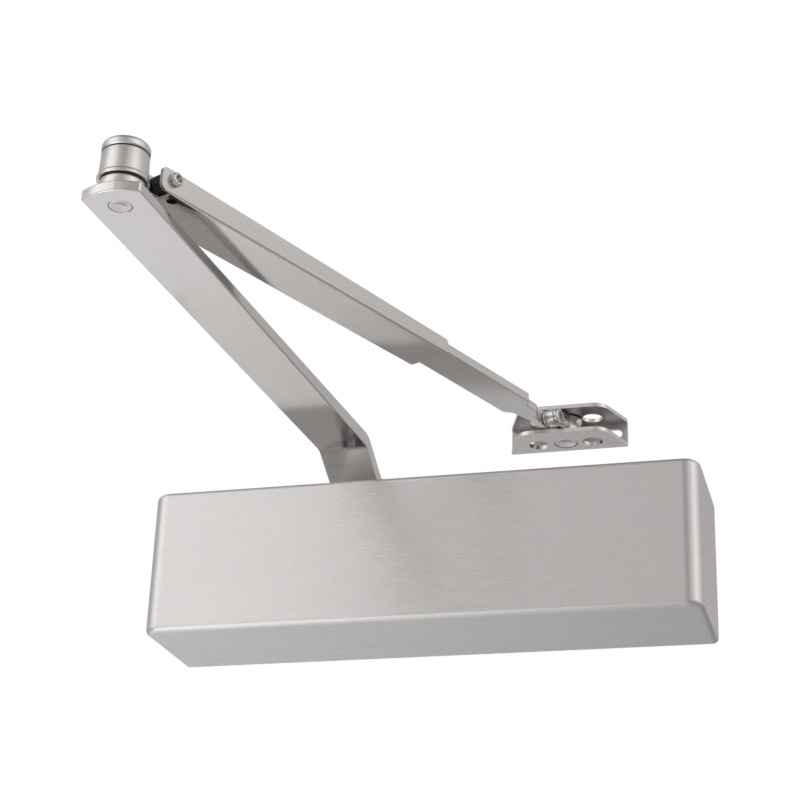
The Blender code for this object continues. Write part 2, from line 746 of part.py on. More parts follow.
def make_elbow():
    """Pin, collar, washers and cap, which stay with the main arm."""
    hole = ELBOW_PIN + GAP
    low, high = ARM_BOTTOM, 0.0817
    pin = [(0, high), (ELBOW_PIN, high), (ELBOW_PIN, low + 0.0003), (ELBOW_PIN - 0.0003, low), (0, low)]
    part(place(turned("elbow_pin", pin, 28), ELBOW), "brushed_steel")
    low = ARM_BOTTOM + ARM_TIP_THICKNESS + GAP
    part(place(ring("elbow_collar", hole, 0.0092, low, COLLAR_TOP, 28, 0.0003), ELBOW), "brushed_steel")
    low, high = COLLAR_TOP + GAP, SLEEVE_BOTTOM - GAP
    part(place(ring("lower_washer", hole, 0.0098, low, high, 28, 0.0002), ELBOW), "black_plastic")
    low, high = SLEEVE_TOP + GAP, CAP_BOTTOM - GAP
    part(place(ring("upper_washer", hole, 0.0093, low, high, 28, 0.0002), ELBOW), "black_plastic")
    inner_top = 0.0820
    dome = [(0, CAP_TOP), (0.0040, CAP_TOP), (0.0058, CAP_TOP - 0.0006), (0.0082, CAP_TOP - 0.0016)]
    dome += [(0.0096, CAP_TOP - 0.0033), (0.0096, CAP_BOTTOM), (hole, CAP_BOTTOM)]
    dome += [(hole, inner_top), (0, inner_top)]
    part(place(turned("elbow_cap", dome, 28), ELBOW), "brushed_steel")


# ---------------------------------------------------------------- forearm


def forearm(obj):
    return place(obj, ELBOW, (0, 0, FOREARM_ANGLE))


def make_knuckle():
    """The sleeve that turns on the elbow pin, with the lug that the forearm tilts on."""
    hole = ELBOW_PIN + GAP
    lip = SLEEVE_RADIUS + 0.0005
    profile = [
        (SLEEVE_RADIUS - 0.0004, SLEEVE_TOP),
        (SLEEVE_RADIUS, SLEEVE_TOP - 0.0004),
        (SLEEVE_RADIUS, SLEEVE_BOTTOM + 0.0022),
        (lip, SLEEVE_BOTTOM + 0.0014),
        (lip, SLEEVE_BOTTOM),
        (hole, SLEEVE_BOTTOM),
        (hole, SLEEVE_TOP),
    ]
    sleeve = turned("knuckle", profile, 28, ring=True)
    right, left = LUG_RIGHT, LUG_LEFT
    low, high = CHANNEL_LOW + CHANNEL_SHEET + GAP, CHANNEL_TOP - 0.0001
    side = [(0.0060, low)] + arc((TILT_X, TILT_Z), 0.0036, -90, 90, 14) + [(0.0060, high)]
    lug = side_slab("knuckle_lug", side, right, left)
    eye_hole = rod("knuckle_hole", 0.0028, (TILT_X, -0.02, TILT_Z), (TILT_X, 0.02, TILT_Z), 20)
    for tool in (lug, eye_hole):
        forearm(tool)
    join(sleeve, lug)
    cut(sleeve, eye_hole)
    part(forearm(sleeve), "brushed_steel")


def spin_about_tilt(obj, x, z):
    """Turns a piece made about Z so that its +Z points to the forearm's right, at a place on the forearm."""
    upright = Matrix.Translation((x, 0, z)) @ Matrix.Rotation(pi / 2, 4, "X")
    holder = Matrix.Translation(ELBOW) @ Matrix.Rotation(FOREARM_ANGLE, 4, "Z") @ upright
    obj.matrix_world = holder
    return obj


def make_tilt_joint():
    wall_right = CENTRE_Y - CHANNEL_WIDTH / 2
    wall_left = CENTRE_Y + CHANNEL_WIDTH / 2
    inner = -wall_right - CHANNEL_SHEET - GAP
    low, ribs = -LUG_RIGHT + GAP, 4
    step = (inner - low) / ribs
    points = [(BUSH_RADIUS - 0.0006, inner)]
    for k in range(ribs):
        top = inner - k * step
        points += [(BUSH_RADIUS, top - step / 2), (BUSH_RADIUS - 0.0006, top - step)]
    points += [(0.0028, low), (0.0028, inner)]
    part(spin_about_tilt(turned("tilt_bush", points, 16, ring=True), TILT_X, TILT_Z), "black_plastic")
    head = -wall_right + GAP
    top = head + 0.0021
    profile = [(0, top), (0.0022, top), (0.0031, top - 0.0008), (0.0031, head), (0.0025, head)]
    tail = -wall_left - 0.0036
    profile += [(0.0025, tail), (0, tail)]
    screw = spin_about_tilt(turned("tilt_screw", profile, 16), TILT_X, TILT_Z)
    start, end = (TILT_X, -top - 0.001, TILT_Z), (TILT_X, -top + 0.0014, TILT_Z)
    cut(screw, forearm(hex_socket("tilt_socket", 0.0026, start, end)))
    part(screw, "brushed_steel")
    nut = rod("tilt_nut", 0.0042, (TILT_X, wall_left + GAP, TILT_Z), (TILT_X, wall_left + 0.0032, TILT_Z), 6)
    cut(nut, forearm(rod("tilt_nut_hole", 0.0028, (TILT_X, 0, TILT_Z), (TILT_X, 0.03, TILT_Z), 20)))
    part(forearm(nut), "zinc")


def channel_side(rise):
    """The channel from the side. Its web climbs towards the rod, and rise lifts it for the inside."""
    start = CHANNEL_START if rise == 0 else CHANNEL_START - 0.01
    end = CHANNEL_END if rise == 0 else CHANNEL_END + 0.01
    top = CHANNEL_TOP if rise == 0 else CHANNEL_TOP + 0.01
    slope = (CHANNEL_HIGH - CHANNEL_LOW) / (CHANNEL_END - 0.035)
    corners = [
        (start, CHANNEL_LOW + rise),
        (0.035, CHANNEL_LOW + rise),
        (end, CHANNEL_LOW + rise + slope * (end - 0.035)),
        (end, top),
        (start, top),
    ]
    return rounded(corners, [0.0030, 0, 0, 0.0020, 0.0036] if rise == 0 else [0] * 5)


def make_channel():
    right = CENTRE_Y - CHANNEL_WIDTH / 2
    left = CENTRE_Y + CHANNEL_WIDTH / 2
    channel = side_slab("forearm_channel", channel_side(0), right, left)
    t = CHANNEL_SHEET
    inside = side_slab("channel_inside", channel_side(t), right + t, left - t)
    boss = rod("lock_boss", 0.0036, (LOCK_X, CENTRE_Y, 0.0700), (LOCK_X, CENTRE_Y, 0.0765), 24)
    boss_hole = rod("lock_thread", 0.0023, (LOCK_X, CENTRE_Y, 0.0722), (LOCK_X, CENTRE_Y, 0.0790), 20)
    wall_hole = rod("tilt_hole", 0.0028, (TILT_X, right - 0.01, TILT_Z), (TILT_X, left + 0.01, TILT_Z), 20)
    web_hole = rod("web_hole", 0.0021, (0.0215, -0.0052, 0.06), (0.0215, -0.0052, 0.07), 20)
    web_end = box("web_end", (0.0, right + t, 0.06), (WEB_START, left - t, 0.0692))
    for tool in (inside, boss, boss_hole, wall_hole, web_hole, web_end):
        forearm(tool)
    cut(channel, inside)
    join(channel, boss)
    cut(channel, boss_hole, wall_hole, web_hole, web_end)
    part(forearm(channel), "brushed_steel")


def rod_plan():
    """The sliding bar from above: full width to its shoulders, then a neck towards the rivet."""
    right = CENTRE_Y - ROD_WIDTH / 2
    left = CENTRE_Y + ROD_WIDTH / 2
    corners = [
        (ROD_START, right),
        (ROD_SHOULDER, right),
        (ROD_SHOULDER + 0.0045, -0.0042),
        (0.2780, -0.0036),
        (0.2840, -0.0002),
        (0.2840, 0.0056),
        (ROD_SHOULDER + 0.0075, 0.0066),
        (ROD_SHOULDER + 0.0040, left),
        (ROD_START, left),
    ]
    return rounded(corners, [0.002, 0.001, 0.001, 0.002, 0.001, 0.001, 0.001, 0.001, 0.002], steps=3)


def tongue_side(root_x, root_low, root_high, radius):
    """A tongue from a root to the rivet, with a round end, in X and Z."""
    side = 1 if RIVET_X > root_x else -1
    eye = arc((RIVET_X, RIVET_Z), radius, -90, 90 if side > 0 else -270, 14)
    return [(root_x, root_low)] + eye + [(root_x, root_high)]


def make_rod():
    bar = slab("forearm_rod", rod_plan(), ROD_BOTTOM, ROD_TOP)
    side = tongue_side(0.2780, ROD_BOTTOM + 0.0004, ROD_TOP - 0.0004, 0.0043)
    tongue = side_slab("rod_tongue", side, 0.0005, 0.0045)
    reach = SLOT_END - SLOT_START
    ends = arc((SLOT_END, CENTRE_Y), 0.004, -90, 90, 10)
    ends += arc((SLOT_END - reach, CENTRE_Y), 0.004, 90, 270, 10)
    slot = slab("rod_slot", ends, ROD_BOTTOM - 0.01, ROD_TOP + 0.01)
    hole = rod("rod_rivet_hole", 0.0027, (RIVET_X, -0.01, RIVET_Z), (RIVET_X, 0.01, RIVET_Z), 20)
    for tool in (tongue, slot, hole):
        forearm(tool)
    join(bar, tongue)
    cut(bar, slot, hole)
    part(forearm(bar), "brushed_steel")


def make_lock_screw():
    """It clamps the rod in the channel at the length the door needs."""
    under = ROD_TOP + GAP
    top = under + 0.0026
    profile = [(0, top), (0.0040, top), (0.0056, top - 0.0010), (0.0060, top - 0.0018), (0.0060, under)]
    profile += [(0.0020, under), (0.0020, 0.0726), (0, 0.0726)]
    at = Matrix.Rotation(FOREARM_ANGLE, 3, "Z") @ Vector((LOCK_X, CENTRE_Y, 0)) + ELBOW
    screw = place(turned("rod_lock_screw", profile, 24), at)
    cut(screw, hex_socket("lock_socket", 0.004, (at.x, at.y, top + 0.001), (at.x, at.y, top - 0.0016)))
    part(screw, "zinc")


# ---------------------------------------------------------------- frame bracket


def make_swivel():
    """The block that swivels on the bracket's pin and tilts on the forearm's rivet."""
    low, high = SHOE_BOTTOM + SHOE_SHEET + 0.0005, SHOE_TOP - SHOE_SHEET - 0.0005
    pivot_x = FOREARM_LENGTH
    block = rod("swivel_block", BLOCK_RADIUS, (pivot_x, 0, low), (pivot_x, 0, high), 36)
    side = tongue_side(pivot_x - 0.005, low + 0.0004, high - 0.0004, 0.0043)
    lug = side_slab("swivel_lug", side, -0.0060, -0.0012)
    bore = rod("swivel_bore", PIVOT_RADIUS + GAP, (pivot_x, 0, 0.06), (pivot_x, 0, 0.09), 32)
    hole = rod("swivel_hole", 0.0027, (RIVET_X, -0.01, RIVET_Z), (RIVET_X, 0.01, RIVET_Z), 20)
    for tool in (lug, bore, hole):
        forearm(tool)
    join(block, lug)
    cut(block, bore, hole)
    part(forearm(block), "brushed_steel")


def make_rivet():
    head = 0.0060 + GAP
    top = head + 0.0018
    profile = [(0, top), (0.0034, top), (0.0041, top - 0.0008), (0.0041, head), (0.0024, head)]
    profile += [(0.0024, -0.0048), (0.0038, -0.0048), (0.0034, -0.0060), (0, -0.0060)]
    rivet = spin_about_tilt(turned("swivel_rivet", profile, 16), RIVET_X, RIVET_Z)
    face = -head - 0.0018
    dimple = ring("rivet_ring", 0.0016, 0.0026, -face - 0.0005, -face + 0.001, 16)
    cut(rivet, spin_about_tilt(dimple, RIVET_X, RIVET_Z))
    part(rivet, "brushed_steel")
    washer = ring("tilt_washer", 0.0027, 0.0042, -0.0002, 0.0009, 24, 0.0002)
    part(spin_about_tilt(washer, RIVET_X, RIVET_Z), "zinc")


def shoe_plan():
    corners = [
        (-SHOE_HALF, SHOE_BACK),
        (-SHOE_HALF, SHOE_BACK - 0.003),
        (-SHOE_NOSE_HALF, SHOE_FRONT),
        (SHOE_NOSE_HALF, SHOE_FRONT),
        (SHOE_HALF, SHOE_BACK - 0.003),
        (SHOE_HALF, SHOE_BACK),
    ]
    return rounded(corners, [0, 0.002, 0.008, 0.008, 0.002, 0], steps=5)


def make_shoe():
    """A channel on its side: the web lies on the frame, and two flanges hold the pivot pin."""
    shoe = slab("frame_bracket", shoe_plan(), SHOE_BOTTOM, SHOE_TOP)
    place(shoe, SHOE_PIVOT)
    low, high = SHOE_BOTTOM + SHOE_SHEET, SHOE_TOP - SHOE_SHEET
    gap = box("bracket_gap", (-0.04, SHOE_FRONT - 0.01, low), (0.04, SHOE_BACK - SHOE_SHEET, high))
    cut(shoe, place(gap, SHOE_PIVOT))
    for x, radius in ((-SHOE_HOLE_X, SHOE_HOLE), (0, PIVOT_RADIUS + GAP), (SHOE_HOLE_X, SHOE_HOLE)):
        cut(shoe, place(rod("bracket_hole", radius, (x, 0, 0.06), (x, 0, 0.09), 24), SHOE_PIVOT))
    middle = (SHOE_BOTTOM + SHOE_TOP) / 2
    half = 0.0022
    for x in (-SHOE_SLOT_X, SHOE_SLOT_X):
        outline = arc((x + half, middle), 0.0025, -90, 90, 6) + arc((x - half, middle), 0.0025, 90, 270, 6)
        cut(shoe, place(side_slab("frame_slot", outline, SHOE_BACK - 0.01, SHOE_BACK + 0.01), SHOE_PIVOT))
    part(shoe, "brushed_steel")
    r = PIVOT_RADIUS
    low, high = SHOE_BOTTOM + 0.0001, SHOE_TOP + 0.0006
    pin = [(0, high), (r - 0.0008, high), (r, high - 0.0006), (r, low + 0.0003), (r - 0.0003, low), (0, low)]
    part(place(turned("bracket_pin", pin, 32), SHOE_PIVOT), "brushed_steel")


# ---------------------------------------------------------------- assembly


def make_all():
    make_cover()
    make_plate()
    for name, side in (("left", -1), ("right", 1)):
        make_clip(f"cover_clip_{name}", side)
        make_clip_screw(f"clip_screw_{name}", side)
        make_end_cap(f"end_cap_{name}", side)
    make_body()
    for number, (sx, sz) in enumerate(((-1, -1), (-1, 1), (1, -1), (1, 1)), 1):
        make_body_screw(f"body_screw_{number}", sx * BODY_SCREW[0], sz * BODY_SCREW[1])
    make_piston()
    make_spindle()
    make_spindle_seat(1)
    make_spindle_seat(-1)
    make_spindle_cap()
    make_spring()
    make_spring_seat()
    make_adjuster()
    for name, (x, z) in VALVE_PLACES.items():
        make_valve(name, x, z)
    make_main_arm()
    make_arm_screw()
    make_elbow()
    make_knuckle()
    make_tilt_joint()
    make_channel()
    make_rod()
    make_lock_screw()
    make_swivel()
    make_rivet()
    make_shoe()


clear_scene()
PARTS = collection("door_closer")
CUTTERS = collection("cutters")
FINISHES = {
    name: finish_of(name, colour, roughness, metallic)
    for name, colour, roughness, metallic in (
        ("cover_steel", (0.66, 0.65, 0.64), 0.34, 1.0),
        ("brushed_steel", (0.63, 0.62, 0.61), 0.30, 1.0),
        ("cast_aluminium", (0.58, 0.58, 0.59), 0.55, 1.0),
        ("machined_steel", (0.50, 0.50, 0.51), 0.28, 1.0),
        ("spring_steel", (0.16, 0.16, 0.17), 0.40, 1.0),
        ("zinc", (0.62, 0.63, 0.66), 0.38, 1.0),
        ("brass", (0.72, 0.56, 0.28), 0.30, 1.0),
        ("black_rubber", (0.02, 0.02, 0.02), 0.75, 0.0),
        ("black_plastic", (0.03, 0.03, 0.03), 0.45, 0.0),
    )
}
make_all()
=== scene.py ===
"""Builds an overhead door closer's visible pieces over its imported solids, with their metal finishes."""

import json
from math import atan2, cos, pi, radians, sin, sqrt

import bmesh
import bpy
from bpy.props import FloatProperty, FloatVectorProperty, IntProperty, PointerProperty
from mathutils import Matrix, Vector


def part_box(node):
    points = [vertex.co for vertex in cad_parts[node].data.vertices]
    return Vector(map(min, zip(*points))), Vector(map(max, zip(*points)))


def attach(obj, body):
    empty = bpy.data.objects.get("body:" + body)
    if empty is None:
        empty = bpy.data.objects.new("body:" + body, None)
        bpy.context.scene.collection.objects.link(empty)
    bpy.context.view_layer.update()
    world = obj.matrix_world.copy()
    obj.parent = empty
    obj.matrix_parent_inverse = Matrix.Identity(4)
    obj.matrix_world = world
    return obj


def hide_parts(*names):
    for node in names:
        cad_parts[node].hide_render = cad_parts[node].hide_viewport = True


bl_info = {
    "name": "Door Closer Looks",
    "version": (1, 0, 0),
    "blender": (4, 5, 0),
    "location": "3D View > Sidebar > Door Closer",
    "description": "Builds a door closer's cover, arms and bracket in brushed steel",
    "category": "Object",
}

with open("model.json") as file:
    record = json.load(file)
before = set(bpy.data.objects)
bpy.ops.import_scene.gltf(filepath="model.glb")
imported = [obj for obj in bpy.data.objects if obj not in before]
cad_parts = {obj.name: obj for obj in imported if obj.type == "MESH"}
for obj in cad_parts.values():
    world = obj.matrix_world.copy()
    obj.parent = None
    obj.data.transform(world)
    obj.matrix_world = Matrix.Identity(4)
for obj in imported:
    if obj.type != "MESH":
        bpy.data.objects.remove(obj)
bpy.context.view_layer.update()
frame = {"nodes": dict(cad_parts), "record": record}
RECORD = frame["record"]
JOINTS = {joint["name"]: joint for joint in RECORD["behaviour"]["joints"]}

UP = Vector((0, 0, 1))
SPINDLE = Vector(JOINTS["spindle_turn"]["pos_m"])
ELBOW = Vector(JOINTS["elbow_turn"]["pos_m"])
TILT = Vector(JOINTS["forearm_tilt"]["pos_m"])
RIVET = Vector(JOINTS["swivel_tilt"]["pos_m"])
PIVOT = Vector(JOINTS["bracket_swivel"]["pos_m"])
ALONG = Vector(JOINTS["rod_slide"]["axis"])
FOREARM_ANGLE = atan2(ALONG.y, ALONG.x)
ARM_ANGLE = atan2(ELBOW.y - SPINDLE.y, ELBOW.x - SPINDLE.x)
ARM_LENGTH = (ELBOW.xy - SPINDLE.xy).length
GAP = 0.0003


# ---------------------------------------------------------------- sizes and colours


class CoverSettings(bpy.types.PropertyGroup):
    corner: FloatProperty(
        name="Corner Radius",
        description="Radius of the cover's two upright front corners",
        default=0.0085,
        unit="LENGTH",
    )
    edge: FloatProperty(
        name="Edge Radius",
        description="Radius of the fold along the cover's top and bottom",
        default=0.0030,
        unit="LENGTH",
    )
    wall: FloatProperty(
        name="Sheet Thickness", description="Thickness of the cover's sheet", default=0.0012, unit="LENGTH"
    )
    slot: FloatProperty(
        name="Slot Radius",
        description="Half the width of the slot that passes the spindle",
        default=0.013,
        unit="LENGTH",
    )
    colour: FloatVectorProperty(
        name="Steel Colour",
        description="Colour of the cover's satin steel",
        default=(0.70, 0.688, 0.68),
        subtype="COLOR",
    )
    roughness: FloatProperty(
        name="Roughness",
        description="How far the satin finish spreads a reflection",
        default=0.30,
        subtype="FACTOR",
    )


class ArmSettings(bpy.types.PropertyGroup):
    edge: FloatProperty(
        name="Edge Radius", description="Radius on the bar's long edges", default=0.0007, unit="LENGTH"
    )
    end_radius: FloatProperty(
        name="End Radius", description="Radius of the arc past the elbow", default=0.022, unit="LENGTH"
    )
    end_corner: FloatProperty(
        name="End Corner", description="Radius of the corners past the elbow", default=0.003, unit="LENGTH"
    )
    colour: FloatVectorProperty(
        name="Steel Colour",
        description="Colour of the arms' brushed steel",
        default=(0.69, 0.675, 0.665),
        subtype="COLOR",
    )
    roughness: FloatProperty(
        name="Roughness",
        description="How far the brushed finish spreads a reflection",
        default=0.22,
        subtype="FACTOR",
    )


class ForearmSettings(bpy.types.PropertyGroup):
    sheet: FloatProperty(
        name="Sheet Thickness", description="Thickness of the folded channel", default=0.0015, unit="LENGTH"
    )
    fold: FloatProperty(
        name="Fold Radius", description="Outside radius of the channel's folds", default=0.0013, unit="LENGTH"
    )
    edge: FloatProperty(
        name="Edge Radius", description="Radius on cut edges", default=0.00025, unit="LENGTH"
    )
    # The web colour is darker than the arm steel: painted shade on the channel's underside, which faces down.
    web_painted_shade_colour: FloatVectorProperty(
        name="Web Colour",
        description="Colour of the channel's shade_painted underside",
        default=(0.66, 0.645, 0.63),
        subtype="COLOR",
    )


class BracketSettings(bpy.types.PropertyGroup):
    sheet: FloatProperty(
        name="Sheet Thickness", description="Thickness of the bracket's sheet", default=0.0020, unit="LENGTH"
    )
    hole: FloatProperty(
        name="Hole Radius", description="Radius of the flanges' open holes", default=0.0051, unit="LENGTH"
    )
    hole_spacing: FloatProperty(
        name="Hole Spacing", description="From the pivot to each open hole", default=0.0134, unit="LENGTH"
    )
    colour: FloatVectorProperty(
        name="Steel Colour",
        description="Colour of the pressed bracket",
        default=(0.70, 0.685, 0.67),
        subtype="COLOR",
    )


class StudioSettings(bpy.types.PropertyGroup):
    lens: FloatProperty(name="Lens", description="Focal length of the camera in millimetres", default=86.48)
    distance: FloatProperty(
        name="Floor Drop", description="How far the floor lies below the closer", default=0.62, unit="LENGTH"
    )
    steps: IntProperty(
        name="Round Steps", description="Sides on a large turned piece", default=96, min=24, max=160
    )


# ---------------------------------------------------------------- mesh helpers


def new_object(name, mesh):
    obj = bpy.data.objects.new(name, mesh)
    bpy.context.scene.collection.objects.link(obj)
    return obj


def settle(obj):
    """Makes the object's modifiers part of its mesh."""
    graph = bpy.context.evaluated_depsgraph_get()
    mesh = bpy.data.meshes.new_from_object(obj.evaluated_get(graph))
    obj.modifiers.clear()
    obj.data = mesh
    return obj


def arc(centre, radius, start, end, steps):
    """Points on a circle, in degrees."""
    angles = [radians(start + (end - start) * i / steps) for i in range(steps + 1)]
    return [(centre[0] + radius * cos(a), centre[1] + radius * sin(a)) for a in angles]


def rounded(points, radii, steps=6):
    """A closed outline whose corners are arcs of the given radii."""
    found = []
    count = len(points)
    for i, (point, radius) in enumerate(zip(points, radii)):
        here = Vector(point)
        if radius <= 0:
            found.append(tuple(here))
            continue
        back = (Vector(points[i - 1]) - here).normalized()
        ahead = (Vector(points[(i + 1) % count]) - here).normalized()
        half = back.angle(ahead) / 2
        reach = radius * cos(half) / sin(half)
        centre = here + (back + ahead).normalized() * radius / sin(half)
        first = here + back * reach - centre
        last = here + ahead * reach - centre
        sweep = first.angle_signed(last)
        for k in range(steps + 1):
            spoke = first.copy()
            spoke.rotate(Matrix.Rotation(-sweep * k / steps, 2))
            found.append(tuple(centre + spoke))
    return found


def prism(name, outline, low, high, upright=False):
    """An outline in X and Y between two heights or, upright, in X and Z between two places on Y."""
    mesh = bpy.data.meshes.new(name)
    shape = bmesh.new()
    rims = []
    for level in (low, high):
        rims.append([shape.verts.new((x, level, z) if upright else (x, z, level)) for x, z in outline])
    count = len(outline)
    shape.faces.new(rims[0])
    shape.faces.new(rims[1])
    for i in range(count):
        j = (i + 1) % count
        shape.faces.new((rims[0][i], rims[0][j], rims[1][j], rims[1][i]))
    bmesh.ops.recalc_face_normals(shape, faces=shape.faces)
    shape.to_mesh(mesh)
    shape.free()
    return new_object(name, mesh)


def spun(name, profile, sides=64, closed=False):
    """Turns (radius, height) points about Z. Points on the axis become poles."""
    mesh = bpy.data.meshes.new(name)
    shape = bmesh.new()
    rings = []
    for radius, height in profile:
        if radius < 1e-7:
            rings.append([shape.verts.new((0, 0, height))])
            continue
        angles = [2 * pi * k / sides for k in range(sides)]
        rings.append([shape.verts.new((radius * cos(a), radius * sin(a), height)) for a in angles])
    pairs = list(zip(rings, rings[1:]))
    if closed:
        pairs.append((rings[-1], rings[0]))
    for upper, lower in pairs:
        for k in range(sides):
            n = (k + 1) % sides
            near = (upper[k % len(upper)], lower[k % len(lower)])
            far = (lower[n % len(lower)], upper[n % len(upper)])
            unique = list(dict.fromkeys(near + far))
            if len(unique) > 2:
                shape.faces.new(unique)
    bmesh.ops.recalc_face_normals(shape, faces=shape.faces)
    shape.to_mesh(mesh)
    shape.free()
    return new_object(name, mesh)


def bar(name, radius, start, end, sides=40):
    """A round bar between two points."""
    start, end = Vector(start), Vector(end)
    length = (end - start).length
    obj = spun(name, [(0, length), (radius, length), (radius, 0), (0, 0)], sides)
    turn = UP.rotation_difference(end - start).to_matrix().to_4x4()
    obj.data.transform(Matrix.Translation(start) @ turn)
    return obj


def rim(radius, low, high, corner):
    """The outside of a turned piece, from its top face to its foot, with both corners broken."""
    top = [(radius - corner, high), (radius - corner * 0.3, high - corner * 0.3), (radius, high - corner)]
    return top + [(radius, low + corner), (radius - corner * 0.3, low + corner * 0.3), (radius - corner, low)]


def combine(obj, tool, operation):
    """Applies one Boolean and removes its tool."""
    bpy.context.view_layer.update()
    step = obj.modifiers.new(operation, "BOOLEAN")
    step.operation = operation
    step.solver = "EXACT"
    step.object = tool
    settle(obj)
    bpy.data.objects.remove(tool, do_unlink=True)
    return obj


def cut(obj, *tools):
    for tool in tools:
        combine(obj, tool, "DIFFERENCE")
    return obj


def drill(obj, radius, start, end, sides=32):
    return cut(obj, bar("drill", radius, start, end, sides))


def join(obj, *tools):
    for tool in tools:
        combine(obj, tool, "UNION")
    return obj


def soften(obj, width, segments=2, angle=32):
    """Rounds the edges that are sharper than an angle, and keeps the flats flat."""
    shape = bmesh.new()
    shape.from_mesh(obj.data)
    bmesh.ops.remove_doubles(shape, verts=shape.verts, dist=0.000002)
    bmesh.ops.dissolve_limit(shape, angle_limit=radians(0.5), verts=shape.verts, edges=shape.edges)
    shape.to_mesh(obj.data)
    shape.free()
    step = obj.modifiers.new("soften", "BEVEL")
    step.width = width
    step.segments = segments
    step.limit_method = "ANGLE"
    step.angle_limit = radians(angle)
    step.use_clamp_overlap = True
    step.harden_normals = False
    settle(obj)
    return obj


def fold(obj, radius, segments, wanted):
    """Rounds the edges whose two ends pass a test."""
    shape = bmesh.new()
    shape.from_mesh(obj.data)
    edges = [edge for edge in shape.edges if wanted(edge)]
    bmesh.ops.bevel(shape, geom=edges, offset=radius, segments=segments, profile=0.5, affect="EDGES")
    shape.to_mesh(obj.data)
    shape.free()


def shade(obj, angle=38):
    obj.data.shade_smooth()
    obj.data.set_sharp_from_angle(angle=radians(angle))
    return obj


def flatten(obj, angle):
    """Shades a piece and lets its large faces set the normals, so that a small round doesn't shade them."""
    shade(obj, angle)
    step = obj.modifiers.new("normals", "WEIGHTED_NORMAL")
    step.keep_sharp = True
    return obj


def place(obj, at, angle=0.0):
    obj.matrix_world = Matrix.Translation(at) @ Matrix.Rotation(angle, 4, "Z")
    return obj


def on_side(obj, at):
    """Turns a piece made about Z so that it points to the forearm's right."""
    turn = Matrix.Rotation(FOREARM_ANGLE, 4, "Z") @ Matrix.Rotation(pi / 2, 4, "X")
    obj.matrix_world = Matrix.Translation(at) @ turn
    return obj


def fit(obj, body, finish, slot, *nodes):
    """Gives a piece its finish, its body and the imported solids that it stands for."""
    obj.data.materials.clear()
    obj.data.materials.append(FINISHES[finish])
    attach(obj, body)
    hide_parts(*nodes)
    return obj


def in_forearm(point):
    """A point in the forearm's own axes: along it, to its left, and up."""
    return Matrix.Rotation(-FOREARM_ANGLE, 3, "Z") @ (Vector(point) - ELBOW)


# ---------------------------------------------------------------- shader groups


def group_of(name, inputs, outputs):
    """An empty node group with the named sockets."""
    made = bpy.data.node_groups.new(name, "ShaderNodeTree")
    for label, kind, value in inputs:
        socket = made.interface.new_socket(name=label, in_out="INPUT", socket_type=kind)
        if value is not None:
            socket.default_value = value
    for label, kind in outputs:
        made.interface.new_socket(name=label, in_out="OUTPUT", socket_type=kind)
    start = made.nodes.new("NodeGroupInput")
    end = made.nodes.new("NodeGroupOutput")
    return made, start, end


def math(tree, operation, first, second=None, clamp=False):
    """A Math node fed by sockets or plain numbers."""
    node = tree.nodes.new("ShaderNodeMath")
    node.operation = operation
    node.use_clamp = clamp
    for socket, value in zip(node.inputs, (first, second)):
        if value is None:
            continue
        if isinstance(value, (int, float)):
            socket.default_value = value
        else:
            tree.links.new(value, socket)
    return node.outputs[0]


def stretch(tree, value, low, high, out_low=0.0, out_high=1.0):
    node = tree.nodes.new("ShaderNodeMapRange")
    tree.links.new(value, node.inputs["Value"])
    for label, number in zip(("From Min", "From Max", "To Min", "To Max"), (low, high, out_low, out_high)):
        if isinstance(number, (int, float)):
            node.inputs[label].default_value = number
        else:
            tree.links.new(number, node.inputs[label])
    return node.outputs["Result"]


def noise(tree, vector, scale, detail=2.0, rough=0.5):
    node = tree.nodes.new("ShaderNodeTexNoise")
    node.inputs["Scale"].default_value = scale
    node.inputs["Detail"].default_value = detail
    node.inputs["Roughness"].default_value = rough
    tree.links.new(vector, node.inputs["Vector"])
    return node.outputs["Fac"]


def scaled(tree, vector, factors):
    node = tree.nodes.new("ShaderNodeVectorMath")
    node.operation = "MULTIPLY"
    tree.links.new(vector, node.inputs[0])
    node.inputs[1].default_value = factors
    return node.outputs[0]


def weighed(tree, first, share, second, rest):
    """The sum of two values, each times its own share."""
    return math(tree, "ADD", math(tree, "MULTIPLY", first, share), math(tree, "MULTIPLY", second, rest))


def surface_group(name, pattern, low, high):
    """A group that turns a place into a height for a bump and a tone for a colour."""
    tree, start, end = group_of(
        name,
        [("Vector", "NodeSocketVector", None), ("Depth", "NodeSocketFloat", 1.0)],
        [("Height", "NodeSocketFloat"), ("Tone", "NodeSocketFloat")],
    )
    height, tone = pattern(tree, start.outputs["Vector"])
    tree.links.new(math(tree, "MULTIPLY", height, start.outputs["Depth"]), end.inputs["Height"])
    tree.links.new(stretch(tree, tone, low, high), end.inputs["Tone"])
    return tree


def brushed_lines(tree, vector):
    """Fine brushed lines along X: long thin streaks over a coarser set, with faint broad bands."""
    fine = noise(tree, scaled(tree, vector, (45, 6500, 6500)), 1.0, 3.0, 0.6)
    coarse = noise(tree, scaled(tree, vector, (14, 1500, 1500)), 1.0, 2.0, 0.5)
    broad = noise(tree, scaled(tree, vector, (5, 190, 190)), 1.0, 2.0, 0.5)
    lines = weighed(tree, fine, 0.6, coarse, 0.4)
    return lines, weighed(tree, lines, 0.86, broad, 0.14)


